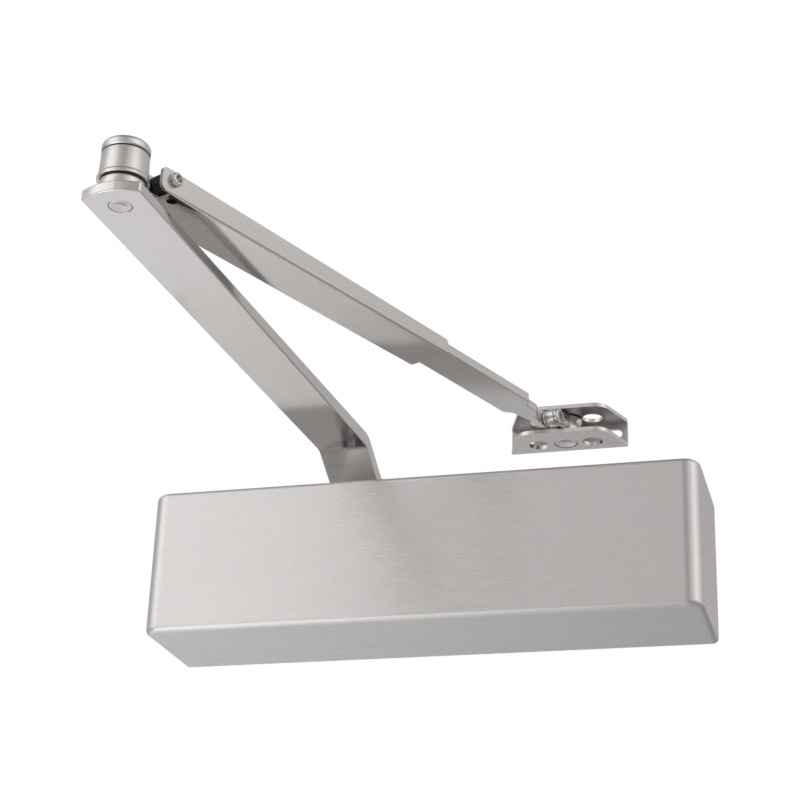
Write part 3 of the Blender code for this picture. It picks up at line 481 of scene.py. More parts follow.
def lathe_rings(tree, vector):
    """Rings left by a lathe: noise that only knows the distance from Z and the height."""
    parts = tree.nodes.new("ShaderNodeSeparateXYZ")
    tree.links.new(vector, parts.inputs[0])
    squares = [math(tree, "POWER", parts.outputs[axis], 2.0) for axis in "XY"]
    joined = tree.nodes.new("ShaderNodeCombineXYZ")
    tree.links.new(math(tree, "SQRT", math(tree, "ADD", *squares)), joined.inputs["X"])
    tree.links.new(parts.outputs["Z"], joined.inputs["Z"])
    fine = noise(tree, joined.outputs[0], 5200, 2.0, 0.6)
    coarse = noise(tree, joined.outputs[0], 1300, 1.0, 0.5)
    around = noise(tree, scaled(tree, vector, (160, 160, 420)), 1.0, 2.0, 0.5)
    rings = weighed(tree, fine, 0.55, coarse, 0.45)
    return rings, weighed(tree, rings, 0.7, around, 0.3)


def cast_grit(tree, vector):
    """A cast or moulded skin: fine grit over soft waves."""
    both = weighed(tree, noise(tree, vector, 2400, 3.0, 0.65), 0.7, noise(tree, vector, 260, 2.0, 0.5), 0.3)
    return both, both


def build_marks_group():
    """Handling marks: soft patches that dull the shine, and a few fine scratches."""
    tree, start, end = group_of(
        "Handling Marks",
        [("Vector", "NodeSocketVector", None), ("Amount", "NodeSocketFloat", 0.5)],
        [("Dull", "NodeSocketFloat"), ("Scratch", "NodeSocketFloat")],
    )
    vector, amount = start.outputs["Vector"], start.outputs["Amount"]
    patches = stretch(tree, noise(tree, vector, 38, 4.0, 0.6), 0.42, 0.72)
    specks = stretch(tree, noise(tree, vector, 420, 3.0, 0.7), 0.60, 0.78)
    dull = weighed(tree, patches, 0.7, specks, 0.3)
    tree.links.new(math(tree, "MULTIPLY", dull, amount, clamp=True), end.inputs["Dull"])
    turn = tree.nodes.new("ShaderNodeVectorRotate")
    turn.inputs["Axis"].default_value = (0.3, 0.5, 0.8)
    turn.inputs["Angle"].default_value = 0.7
    tree.links.new(vector, turn.inputs["Vector"])
    thin = noise(tree, scaled(tree, turn.outputs[0], (60, 2600, 900)), 1.0, 1.0, 0.4)
    scratch = stretch(tree, thin, 0.74, 0.80)
    tree.links.new(math(tree, "MULTIPLY", scratch, amount), end.inputs["Scratch"])
    return tree


class Finish:
    """A Principled material under construction."""

    def __init__(self, name, metallic, roughness):
        self.material = bpy.data.materials.new(name)
        self.material.use_nodes = True
        self.tree = self.material.node_tree
        self.shader = self.tree.nodes["Principled BSDF"]
        self.shader.inputs["Metallic"].default_value = metallic
        self.shader.inputs["Roughness"].default_value = roughness
        self.place = self.tree.nodes.new("ShaderNodeTexCoord").outputs["Object"]

    def turned(self, angle):
        """The place, turned about Z, so that the lines run another way."""
        node = self.tree.nodes.new("ShaderNodeMapping")
        node.vector_type = "TEXTURE"
        node.inputs["Rotation"].default_value = (0, 0, angle)
        self.tree.links.new(self.place, node.inputs["Vector"])
        return node.outputs[0]

    def group(self, tree, vector, **values):
        node = self.tree.nodes.new("ShaderNodeGroup")
        node.node_tree = tree
        self.tree.links.new(vector, node.inputs["Vector"])
        for label, value in values.items():
            node.inputs[label].default_value = value
        return node

    def colour(self, mask, dark, light):
        ramp = self.tree.nodes.new("ShaderNodeMix")
        ramp.data_type = "RGBA"
        ramp.inputs["A"].default_value = (*dark, 1)
        ramp.inputs["B"].default_value = (*light, 1)
        self.tree.links.new(mask, ramp.inputs["Factor"])
        self.tree.links.new(ramp.outputs["Result"], self.shader.inputs["Base Color"])

    def roughness(self, mask, low, high):
        self.tree.links.new(stretch(self.tree, mask, 0.0, 1.0, low, high), self.shader.inputs["Roughness"])

    def streak(self, direction, amount):
        """Spreads the shine across the brushed lines, which run along a direction of the piece."""
        node = self.tree.nodes.new("ShaderNodeVectorTransform")
        node.vector_type = "VECTOR"
        node.convert_from = "OBJECT"
        node.convert_to = "WORLD"
        node.inputs[0].default_value = direction
        self.tree.links.new(node.outputs[0], self.shader.inputs["Tangent"])
        self.shader.inputs["Anisotropic"].default_value = amount
        self.shader.inputs["Anisotropic Rotation"].default_value = 0.25

    def bump(self, height, distance, strength=1.0):
        node = self.tree.nodes.new("ShaderNodeBump")
        node.inputs["Distance"].default_value = distance
        node.inputs["Strength"].default_value = strength
        self.tree.links.new(height, node.inputs["Height"])
        self.tree.links.new(node.outputs["Normal"], self.shader.inputs["Normal"])


def shaded(colour, factor):
    return tuple(min(1.0, c * factor) for c in colour)


def worked_steel(made, pattern, vector, colour, roughness, depth, marks, contrast, relief):
    """Lines or rings cut in steel, dulled and scratched here and there by handling."""
    lines = made.group(GROUPS[pattern], vector, Depth=depth)
    worn = made.group(GROUPS["marks"], made.place, Amount=marks)
    made.colour(lines.outputs["Tone"], shaded(colour, 1 - contrast), shaded(colour, 1 + contrast))
    half = math(made.tree, "MULTIPLY", lines.outputs["Tone"], 0.5)
    made.roughness(math(made.tree, "ADD", half, worn.outputs["Dull"]), roughness - 0.05, roughness + 0.09)
    made.bump(math(made.tree, "SUBTRACT", lines.outputs["Height"], worn.outputs["Scratch"]), relief)
    return made.material


def brushed_finish(name, colour, roughness, angle=0.0, depth=1.0, marks=0.4, contrast=0.09, streak=0.6):
    """Steel with brushed lines along an angle from the piece's own X."""
    made = Finish(name, 1.0, roughness)
    lean = 0.05
    made.streak((cos(angle) - lean * sin(angle), sin(angle) + lean * cos(angle), 0), streak)
    vector = made.turned(angle) if angle else made.place
    return worked_steel(made, "lines", vector, colour, roughness, depth, marks, contrast, 0.000012)


def turned_finish(name, colour, roughness, depth=1.0, marks=0.4, contrast=0.08):
    """Steel from a lathe, with rings about the piece's own Z."""
    made = Finish(name, 1.0, roughness)
    return worked_steel(made, "rings", made.place, colour, roughness, depth, marks, contrast, 0.000010)


def grit_finish(name, colour, roughness, metallic, depth=1.0, contrast=0.12, distance=0.00003):
    """A cast, plated or moulded skin."""
    made = Finish(name, metallic, roughness)
    grit = made.group(GROUPS["grit"], made.place, Depth=depth)
    marks_node = made.group(GROUPS["marks"], made.place, Amount=0.5)
    made.colour(grit.outputs["Tone"], shaded(colour, 1 - contrast), shaded(colour, 1 + contrast))
    made.roughness(marks_node.outputs["Dull"], roughness - 0.04, roughness + 0.12)
    made.bump(grit.outputs["Height"], distance)
    return made.material


GROUPS = {}
FINISHES = {}


class CLOSER_OT_finishes(bpy.types.Operator):
    """Make the shader groups and the metal, rubber and plastic finishes"""

    bl_idname = "closer.finishes"
    bl_label = "Finishes"

    def execute(self, context):
        scene = context.scene
        cover, arm = scene.closer_cover, scene.closer_arm
        GROUPS["lines"] = surface_group("Brushed Lines", brushed_lines, 0.34, 0.66)
        GROUPS["rings"] = surface_group("Lathe Rings", lathe_rings, 0.34, 0.66)
        GROUPS["grit"] = surface_group("Cast Grit", cast_grit, 0.36, 0.64)
        GROUPS["marks"] = build_marks_group()
        satin, steel = tuple(cover.colour), tuple(arm.colour)
        pressed = tuple(scene.closer_bracket.colour)
        web = tuple(scene.closer_forearm.web_painted_shade_colour)
        spread = arm.roughness
        brushed = {
            "cover": ("satin cover steel", satin, cover.roughness, 0.0, 0.22, 0.1, 0.04, 0.94),
            "arm": ("cross brushed arm steel", steel, spread - 0.09, pi / 2, 0.6, 0.3, 0.05, 0.0),
            "channel": ("long brushed channel steel", steel, spread, 0.0, 1.0, 0.3, 0.07),
            # The web finish is darker than the arm steel: painted shade on the downward faces of the channel.
            "web": ("channel web steel", web, 0.12, 0.0, 0.5, 0.3, 0.05, 0.4),
            "rod": ("long brushed rod steel", steel, spread, 0.0, 1.2, 0.4, 0.10),
            "bracket": ("pressed bracket steel", pressed, 0.26, 0.2, 0.8, 0.6, 0.10),
        }
        turned = {
            "turned": ("turned elbow steel", steel, 0.24),
            "bright": ("bright screw steel", (0.62, 0.61, 0.60), 0.20, 0.7),
            "machined": ("machined oily steel", (0.50, 0.50, 0.51), 0.24, 0.8),
            "brass": ("turned brass", (0.72, 0.54, 0.26), 0.26, 0.8),
        }
        gritty = {
            # The inside steel is the arm steel darkened by 0.72: painted shade for the faces inside the
            # channel and the bracket.
            "inside": ("unpolished inner steel", shaded(steel, 0.72), 0.34, 1.0, 0.5, 0.12),
            "cast": ("cast aluminium skin", (0.58, 0.58, 0.59), 0.50, 1.0, 1.0, 0.10, 0.00006),
            "spring": ("oil tempered wire", (0.14, 0.14, 0.15), 0.36, 1.0, 0.6),
            "zinc": ("bright zinc plate", (0.66, 0.67, 0.70), 0.30, 1.0, 0.5, 0.08),
            "rubber": ("black rubber", (0.020, 0.020, 0.021), 0.62, 0.0, 0.8, 0.3),
            "nylon": ("black nylon", (0.024, 0.023, 0.023), 0.40, 0.0, 0.6, 0.3),
        }
        for make, finishes in ((brushed_finish, brushed), (turned_finish, turned), (grit_finish, gritty)):
            for key, values in finishes.items():
                FINISHES[key] = make(*values)
        return {"FINISHED"}


# ---------------------------------------------------------------- cover


class CLOSER_OT_cover(bpy.types.Operator):
    """Build the box cover: one folded sheet with round corners, open to the door, slotted for the spindle"""

    bl_idname = "closer.cover"
    bl_label = "Cover"

    def execute(self, context):
        sizes = context.scene.closer_cover
        low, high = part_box("cover")
        cover = self.shell(sizes, low, high)
        cut(cover, self.slot(sizes, high))
        soften(cover, 0.00025, 2, 60)
        flatten(cover, 50)
        fit(cover, "base", "cover", "cover_steel", "cover")
        return {"FINISHED"}

    def shell(self, sizes, low, high):
        """The outside skin, rounded where it folds, thickened inwards."""
        half, back, front, r = high.x, high.y, low.y, sizes.corner
        outline = [(-half, back)]
        outline += arc((-half + r, front + r), r, 180, 270, 14)
        outline += arc((half - r, front + r), r, 270, 360, 14)
        outline.append((half, back))
        mesh = bpy.data.meshes.new("cover_shell")
        shape = bmesh.new()
        rims = [[shape.verts.new((x, y, z)) for x, y in outline] for z in (low.z, high.z)]
        for i in range(len(outline) - 1):
            shape.faces.new((rims[0][i], rims[0][i + 1], rims[1][i + 1], rims[1][i]))
        shape.faces.new(rims[0][::-1])
        shape.faces.new(rims[1])
        bmesh.ops.recalc_face_normals(shape, faces=shape.faces)
        folds = [e for e in shape.edges if len(e.link_faces) == 2 and e.calc_face_angle() > 1.2]
        bmesh.ops.bevel(
            shape, geom=folds, offset=sizes.edge, segments=6, profile=0.5, affect="EDGES", clamp_overlap=False
        )
        shape.to_mesh(mesh)
        shape.free()
        cover = new_object("cover_shell", mesh)
        sheet = cover.modifiers.new("sheet", "SOLIDIFY")
        sheet.thickness = sizes.wall
        sheet.offset = -1
        sheet.use_even_offset = True
        return settle(cover)

    def slot(self, sizes, high):
        r = sizes.slot
        outline = arc((SPINDLE.x, SPINDLE.y), r, 180, 360, 24)
        outline += [(SPINDLE.x + r, high.y + 0.005), (SPINDLE.x - r, high.y + 0.005)]
        return prism("slot_tool", outline, high.z - 0.004, high.z + 0.004)


# ---------------------------------------------------------------- main arm and elbow


class CLOSER_OT_main_arm(bpy.types.Operator):
    """Build the cranked main arm and the screw and washer that hold it on the spindle"""

    bl_idname = "closer.main_arm"
    bl_label = "Main Arm"

    half_width, underside, thick, thin = 0.0126, 0.0560, 0.0069, 0.0045

    def execute(self, context):
        sizes = context.scene.closer_arm
        arm = self.bar(sizes)
        low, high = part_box("elbow_pin")
        hole, under = (high.x - low.x) / 2 + 0.00006, self.underside
        drill(arm, hole, (ARM_LENGTH, 0, 0.05), (ARM_LENGTH, 0, 0.07), 48)
        sunk, above = under - 0.0004, under + 0.0002
        sink = spun("sink_tool", [(0, sunk), (hole + 0.0004, sunk), (hole, above), (0, above)], 48)
        sink.data.transform(Matrix.Translation((ARM_LENGTH, 0, 0)))
        cut(arm, sink)
        side = 0.0092 / 2 + GAP
        square = rounded([(-side, -side), (side, -side), (side, side), (-side, side)], [0.0008] * 4, 3)
        cut(arm, prism("square_hole", square, 0.03, 0.056))
        soften(arm, 0.00012, 1, 50)
        flatten(arm, 40)
        place(arm, SPINDLE, ARM_ANGLE)
        fit(arm, "arm", "arm", "brushed_steel", "main_arm")
        self.screw(context.scene.closer_studio.steps // 2, (SPINDLE.x, SPINDLE.y, 0))
        return {"FINISHED"}

    def profile(self):
        """Stations along the bar: distance from the spindle, underside and top."""
        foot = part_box("main_arm")[0].z
        foot_top, under, past = foot + 0.0065, self.underside, ARM_LENGTH + 0.03
        bend_low, bend_high = 0.0099, 0.0306
        slope = atan2(under - foot, bend_high - bend_low)
        shift = 0.0065 * sin(slope / 2) / cos(slope / 2)
        floor = [(-0.03, foot), (bend_low, foot), (bend_high, under), (past, under)]
        roof = [(-0.03, foot_top), (bend_low - shift, foot_top), (bend_high - shift, under + self.thick)]
        roof += [(ARM_LENGTH, under + self.thin), (past, under + self.thin)]
        return floor, roof

    def bar(self, sizes):
        """The side outline and the plan outline, one cut by the other, with the long edges rounded."""
        floor, roof = self.profile()
        outline = rounded(floor + roof[::-1], [0, 0.010, 0.007, 0, 0, 0, 0.014, 0.003, 0], 10)
        side = prism("main_arm_bar", outline, -0.02, 0.02, upright=True)
        half, r, swing, reach = self.half_width, sizes.end_radius, 33.5, 0.0122
        nose = arc((ARM_LENGTH + reach - r, 0), r, -swing, swing, 24)
        corner = rounded([(0, -half), (nose[0][0], -half), nose[4]], [0, sizes.end_corner * 0.5, 0], 5)[1:-1]
        mirrored = [(x, -y) for x, y in corner[::-1]]
        plan = arc((0, 0), half, 90, 270, 32) + corner + nose[4:-4] + mirrored
        combine(side, prism("plan_tool", plan, 0.03, 0.08), "INTERSECT")
        return soften(side, sizes.edge, 3, 45)

    def screw(self, steps, centre):
        low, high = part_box("arm_washer")
        inner, outer, c = 0.0036, (high.x - low.x) / 2, 0.0003
        profile = [(inner + c, high.z), (outer - c, high.z), (outer, high.z - c), (outer, low.z + c)]
        profile += [(outer - c, low.z), (inner, low.z), (inner, high.z - c)]
        washer = place(shade(spun("arm_washer_ring", profile, steps, closed=True)), centre)
        fit(washer, "arm", "zinc", "zinc", "arm_washer")
        under = high.z + GAP
        low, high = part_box("arm_screw")
        r, shank = (high.x - low.x) / 2, 0.0030
        profile = [(0, high.z), (r - 0.0009, high.z), (r - 0.0003, high.z - 0.0003), (r, high.z - 0.0009)]
        profile += [(r, under + 0.0002), (r - 0.0002, under), (shank, under), (shank, low.z + 0.0005)]
        screw = spun("arm_screw_head", profile + [(0.0026, low.z), (0, low.z)], steps)
        cut(screw, hexagon("socket_tool", 0.005, high.z - 0.0035, high.z + 0.001))
        soften(screw, 0.00012, 1, 50)
        place(shade(screw), centre)
        fit(screw, "arm", "bright", "brushed_steel", "arm_screw")


def hexagon(name, across, low, high):
    outline = [(across / sqrt(3) * cos(a), across / sqrt(3) * sin(a)) for a in (k * pi / 3 for k in range(6))]
    return prism(name, outline, low, high)


def dome(radius, top, drop, lip, steps=10):
    """Points of a low crown from the axis out to the side, ending at the lip's height."""
    flat = radius * 0.36
    points = [(0, top), (flat * 0.5, top)]
    for k in range(steps + 1):
        share = k / steps
        angle = share * pi / 2
        points.append((flat + (radius - flat) * sin(angle), top - drop * (1 - cos(angle))))
    points.append((radius, lip))
    return points


class CLOSER_OT_elbow(bpy.types.Operator):
    """Build the elbow's pin, collar, black washers, domed cap and turning sleeve"""

    bl_idname = "closer.elbow"
    bl_label = "Elbow"

    slack, seam_height = 0.00003, 0.0006

    def execute(self, context):
        steps, centre = context.scene.closer_studio.steps, (ELBOW.x, ELBOW.y, 0)
        low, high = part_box("elbow_pin")
        pin = (high.x - low.x) / 2
        hole = pin + GAP
        profile = [(0, high.z), (pin - 0.0004, high.z), (pin, high.z - 0.0004), (pin, low.z + 0.0005)]
        profile += [(pin - 0.00015, low.z + 0.00015), (pin - 0.0006, low.z), (pin - 0.0016, low.z + 0.00005)]
        profile += [(pin - 0.0020, low.z + 0.00022), (0, low.z + 0.00022)]
        piece = place(shade(spun("elbow_pin_bar", profile, steps), 30), centre)
        fit(piece, "arm", "turned", "brushed_steel", "elbow_pin")
        lower, upper = self.seam("lower_washer"), self.seam("upper_washer")
        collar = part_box("elbow_collar")[0].z, lower[0] - self.slack
        for node, outer, heights, corner, finish, slot in (
            ("elbow_collar", 0.0092, collar, 0.00030, "turned", "brushed_steel"),
            ("lower_washer", 0.0092, lower, 0.00008, "nylon", "black_plastic"),
            ("upper_washer", 0.0091, upper, 0.00008, "nylon", "black_plastic"),
        ):
            profile = rim(outer, *heights, corner) + [(hole, heights[0]), (hole, heights[1])]
            ring = place(shade(spun(f"{node}_ring", profile, steps, closed=True), 50), centre)
            fit(ring, "arm", finish, slot, node)
        self.cap(hole, steps, centre, upper[1] + self.slack)
        self.knuckle(hole, steps, upper[0] - self.slack, lower[1] + self.slack)
        return {"FINISHED"}

    def seam(self, node):
        """The bottom and top of a washer's thin dark edge."""
        low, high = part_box(node)
        middle = (low.z + high.z) / 2
        return middle - self.seam_height / 2, middle + self.seam_height / 2

    def cap(self, hole, steps, centre, foot):
        low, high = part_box("elbow_cap")
        radius, inner_top = (high.x - low.x) / 2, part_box("elbow_pin")[1].z + GAP
        profile = dome(radius, high.z, (high.z - low.z) * 0.62, foot + 0.0004)
        profile += [(radius - 0.0004, foot), (hole, foot), (hole, inner_top), (0, inner_top)]
        cap = place(shade(spun("elbow_cap_dome", profile, steps), 40), centre)
        fit(cap, "arm", "turned", "brushed_steel", "elbow_cap")

    def knuckle(self, hole, steps, top, foot):
        """The sleeve with its flared foot, and the lug that carries the tilt screw."""
        upper, lower, lip = 0.0094, 0.0098, 0.0103
        profile = [(upper - 0.0004, top), (upper - 0.0001, top - 0.0001), (upper, top - 0.0004)]
        profile += [(lower, foot + 0.0024), (lower + 0.0001, foot + 0.0019), (lip - 0.0001, foot + 0.0014)]
        profile += [(lip, foot + 0.0012), (lip, foot + 0.0002), (lip - 0.0002, foot)]
        profile += [(hole, foot), (hole, top)]
        sleeve = spun("knuckle_sleeve", profile, steps, closed=True)
        tilt, root = in_forearm(TILT), 0.0060
        side = [(root, 0.0692)] + arc((tilt.x, tilt.z), 0.0036, -90, 90, 20) + [(root, 0.0767)]
        lug = soften(prism("lug_tool", side, -0.0005, 0.0075, upright=True), 0.0004, 2, 60)
        drill(lug, hole, (0, 0, foot - 0.002), (0, 0, top + 0.002), steps)
        join(sleeve, lug)
        drill(sleeve, 0.0028, (tilt.x, -0.02, tilt.z), (tilt.x, 0.02, tilt.z))
        place(shade(sleeve, 35), ELBOW, FOREARM_ANGLE)
        fit(sleeve, "knuckle", "turned", "brushed_steel", "knuckle")


# ---------------------------------------------------------------- forearm


class CLOSER_OT_forearm(bpy.types.Operator):
    """Build the folded channel, the sliding rod, the tilt screw, its bush and nut, and the clamp screw"""

    bl_idname = "closer.forearm"
    bl_label = "Forearm"

    centre, width, top = 0.0012, 0.0220, 0.0769
    web, rise = 0.0670, 0.0030 / 0.162
    rod_bottom, clearance, web_hole = 0.0724, 0.00005, (0.0215, -0.0052)

    def execute(self, context):
        sizes = context.scene.closer_forearm
        self.channel(sizes)
        self.rod()
        self.tilt_screw()
        self.bush()
        self.nut()
        self.clamp()
        return {"FINISHED"}

    def side(self, lift, start, end, top, radii):
        """The channel's side outline. Its web climbs towards the rod."""
        low, level = self.web + lift, 0.035
        far = low + self.rise * (end - level)
        return rounded([(start, low), (level, low), (end, far), (end, top), (start, top)], radii, 8)

    def channel(self, sizes):
        t, middle = sizes.sheet, self.centre
        right, left = middle - self.width / 2, middle + self.width / 2
        outline = self.side(0, 0.0113, 0.1970, self.top, [0.0024, 0, 0, 0.0020, 0.0020])
        outer = prism("channel_folded", outline, right, left, upright=True)
        fold(outer, sizes.fold, 6, self.is_long)
        hollow = self.side(t, 0.0, 0.21, 0.09, [0] * 5)
        inner = prism("inside_tool", hollow, right + t, left - t, upright=True)
        fold(inner, max(0.0002, sizes.fold - t * 0.6), 4, self.is_long)
        cut(outer, inner)
        lock, tilt = in_forearm(sum(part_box("rod_lock_screw"), Vector()) / 2), in_forearm(TILT)
        join(outer, bar("boss_tool", 0.0036, (lock.x, middle, 0.0700), (lock.x, middle, 0.0765), 40))
        drill(outer, 0.0023, (lock.x, middle, 0.0722), (lock.x, middle, 0.079), 24)
        drill(outer, 0.0026, (tilt.x, -0.02, tilt.z), (tilt.x, 0.02, tilt.z))
        recess_top, end = self.web + 0.0012, 0.0175
        # The web's hole goes only 1.2 mm into the sheet. Its faces take black nylon below, as painted shade
        # for the dark inside the hole.
        drill(outer, 0.0021, (*self.web_hole, 0.060), (*self.web_hole, recess_top), 36)
        open_end = [(0.0, right + t), (end, right + t), (end, left - t), (0.0, left - t)]
        cut(outer, prism("web_end_tool", open_end, 0.060, 0.0692))
        soften(outer, sizes.edge, 2, 50)
        flatten(outer, 40)
        place(outer, ELBOW, FOREARM_ANGLE)
        fit(outer, "forearm", "channel", "brushed_steel", "forearm_channel")
        for finish in ("web", "inside", "nylon"):
            outer.data.materials.append(FINISHES[finish])
        for face in outer.data.polygons:
            at, normal = face.center, face.normal
            aside = at.y - middle
            # Faces inside the channel take the darkened inside steel: painted shade.
            walls = abs(aside) < self.width / 2 - t * 0.6 and normal.y * aside < 0 and abs(normal.y) > 0.3
            inner = walls or (normal.z > 0.7 and at.z < 0.0735)
            # The blind hole's faces take black nylon: painted shade for the dark inside the hole.
            recess = (at.xy - Vector(self.web_hole)).length < 0.0022 and at.z < recess_top + 0.0001
            # Faces looking down (normal.z < -0.9) take the darker web finish: painted shade.
            face.material_index = 3 if recess else 2 if inner else 1 if normal.z < -0.9 else 0

    def is_long(self, edge):
        """Whether an edge is one of the two long lower ones."""
        a, b = (v.co for v in edge.verts)
        along = abs(a.y - b.y) < 1e-6 and max(a.z, b.z) < 0.0738 and abs(a.x - b.x) > 0.02
        return along and len(edge.link_faces) == 2 and edge.calc_face_angle() > 1.2

    def rod(self):
        bottom, top, middle = self.rod_bottom, self.top, self.centre
        half, start, shoulder, tip = 0.0089, 0.090, 0.265, 0.2840
        right, left = middle - half, middle + half
        corners = [(start, right), (shoulder, right), (shoulder + 0.0045, -0.0042), (0.2780, -0.0036)]
        corners += [(tip, -0.0002), (tip, 0.0056), (shoulder + 0.0075, 0.0066), (shoulder + 0.0040, left)]
        radii = [0.002, 0.0012, 0.002, 0.003, 0.0015, 0.0015, 0.002, 0.0012, 0.002]
        outline = rounded(corners + [(start, left)], radii, 5)
        rod = soften(prism("rod_bar", outline, bottom, top), 0.0006, 3, 45)
        rivet, neck = in_forearm(RIVET), 0.2775
        side = arc((rivet.x, rivet.z), 0.0043, -90, 90, 24)
        side = [(neck, bottom + 0.0004)] + side + [(neck, top - 0.0004)]
        join(rod, soften(prism("tongue_tool", side, 0.0005, 0.0045, upright=True), 0.0005, 2, 60))
        ends = arc((0.195, middle), 0.004, -90, 90, 16) + arc((0.115, middle), 0.004, 90, 270, 16)
        cut(rod, prism("slot_tool", ends, bottom - 0.01, top + 0.01))
        drill(rod, 0.0027, (rivet.x, -0.01, rivet.z), (rivet.x, 0.01, rivet.z))
        soften(rod, 0.00012, 1, 50)
        flatten(rod, 40)
        place(rod, ELBOW, FOREARM_ANGLE)
        fit(rod, "rod", "rod", "brushed_steel", "forearm_rod")

    def tilt_screw(self):
        head = self.width / 2 - self.centre + self.clearance
        top, tail = head + 0.0022, -(self.width / 2 + self.centre) - 0.0036
        profile = [(0, top), (0.0021, top), (0.0025, top - 0.0002), (0.0028, top - 0.0006)]
        profile += [(0.0029, top - 0.0010), (0.0029, head + 0.0002), (0.0028, head), (0.0025, head)]
        profile += [(0.0025, tail + 0.0004), (0.0021, tail), (0, tail)]
        screw = spun("tilt_screw_bar", profile, 56)
        cut(screw, hexagon("socket_tool", 0.0030, top - 0.0015, top + 0.001))
        soften(screw, 0.0001, 1, 50)
        on_side(shade(screw), TILT)
        fit(screw, "forearm", "bright", "brushed_steel", "tilt_screw")

    def bush(self):
        """A ribbed nylon bush between the lug and the channel's wall."""
        low, high = 0.0005 + GAP, self.width / 2 - self.centre - 0.0015 - GAP
        ribs, crest, root = 6, 0.0044, 0.0037
        step = (high - low) / ribs
        profile = [(0.0036, high)]
        for k in range(ribs):
            top = high - k * step
            profile += [(crest, top - step * 0.25), (crest, top - step * 0.6), (root, top - step * 0.85)]
        profile += [(0.0036, low), (0.0028, low), (0.0028, high)]
        bush = on_side(shade(spun("tilt_bush_ribs", profile, 48, closed=True), 60), TILT)
        fit(bush, "forearm", "nylon", "black_plastic", "tilt_bush")

    def nut(self):
        start = self.width / 2 + self.centre + GAP
        nut = hexagon("tilt_nut_hex", 0.0072, -start - 0.0029, -start)
        drill(nut, 0.0028, (0, 0, -start - 0.01), (0, 0, -start + 0.01))
        soften(nut, 0.0003, 2, 40)
        on_side(shade(nut, 30), TILT)
        fit(nut, "forearm", "zinc", "zinc", "tilt_nut")

    def clamp(self):
        low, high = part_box("rod_lock_screw")
        centre, under, r, shank = (low + high) / 2, self.top + GAP, (high.x - low.x) / 2, 0.0020
        profile = [(0, high.z), (r * 0.62, high.z), (r * 0.82, high.z - 0.0004), (r * 0.96, high.z - 0.0012)]
        profile += [(r, high.z - 0.0019), (r, under + 0.0001), (r - 0.0002, under), (shank, under)]
        screw = spun("clamp_screw", profile + [(shank, low.z), (0, low.z)], 56)
        cut(screw, hexagon("socket_tool", 0.004, high.z - 0.0016, high.z + 0.001))
        soften(screw, 0.0001, 1, 50)
        place(shade(screw), (centre.x, centre.y, 0))
        fit(screw, "forearm", "zinc", "zinc", "rod_lock_screw")


# ---------------------------------------------------------------- frame bracket


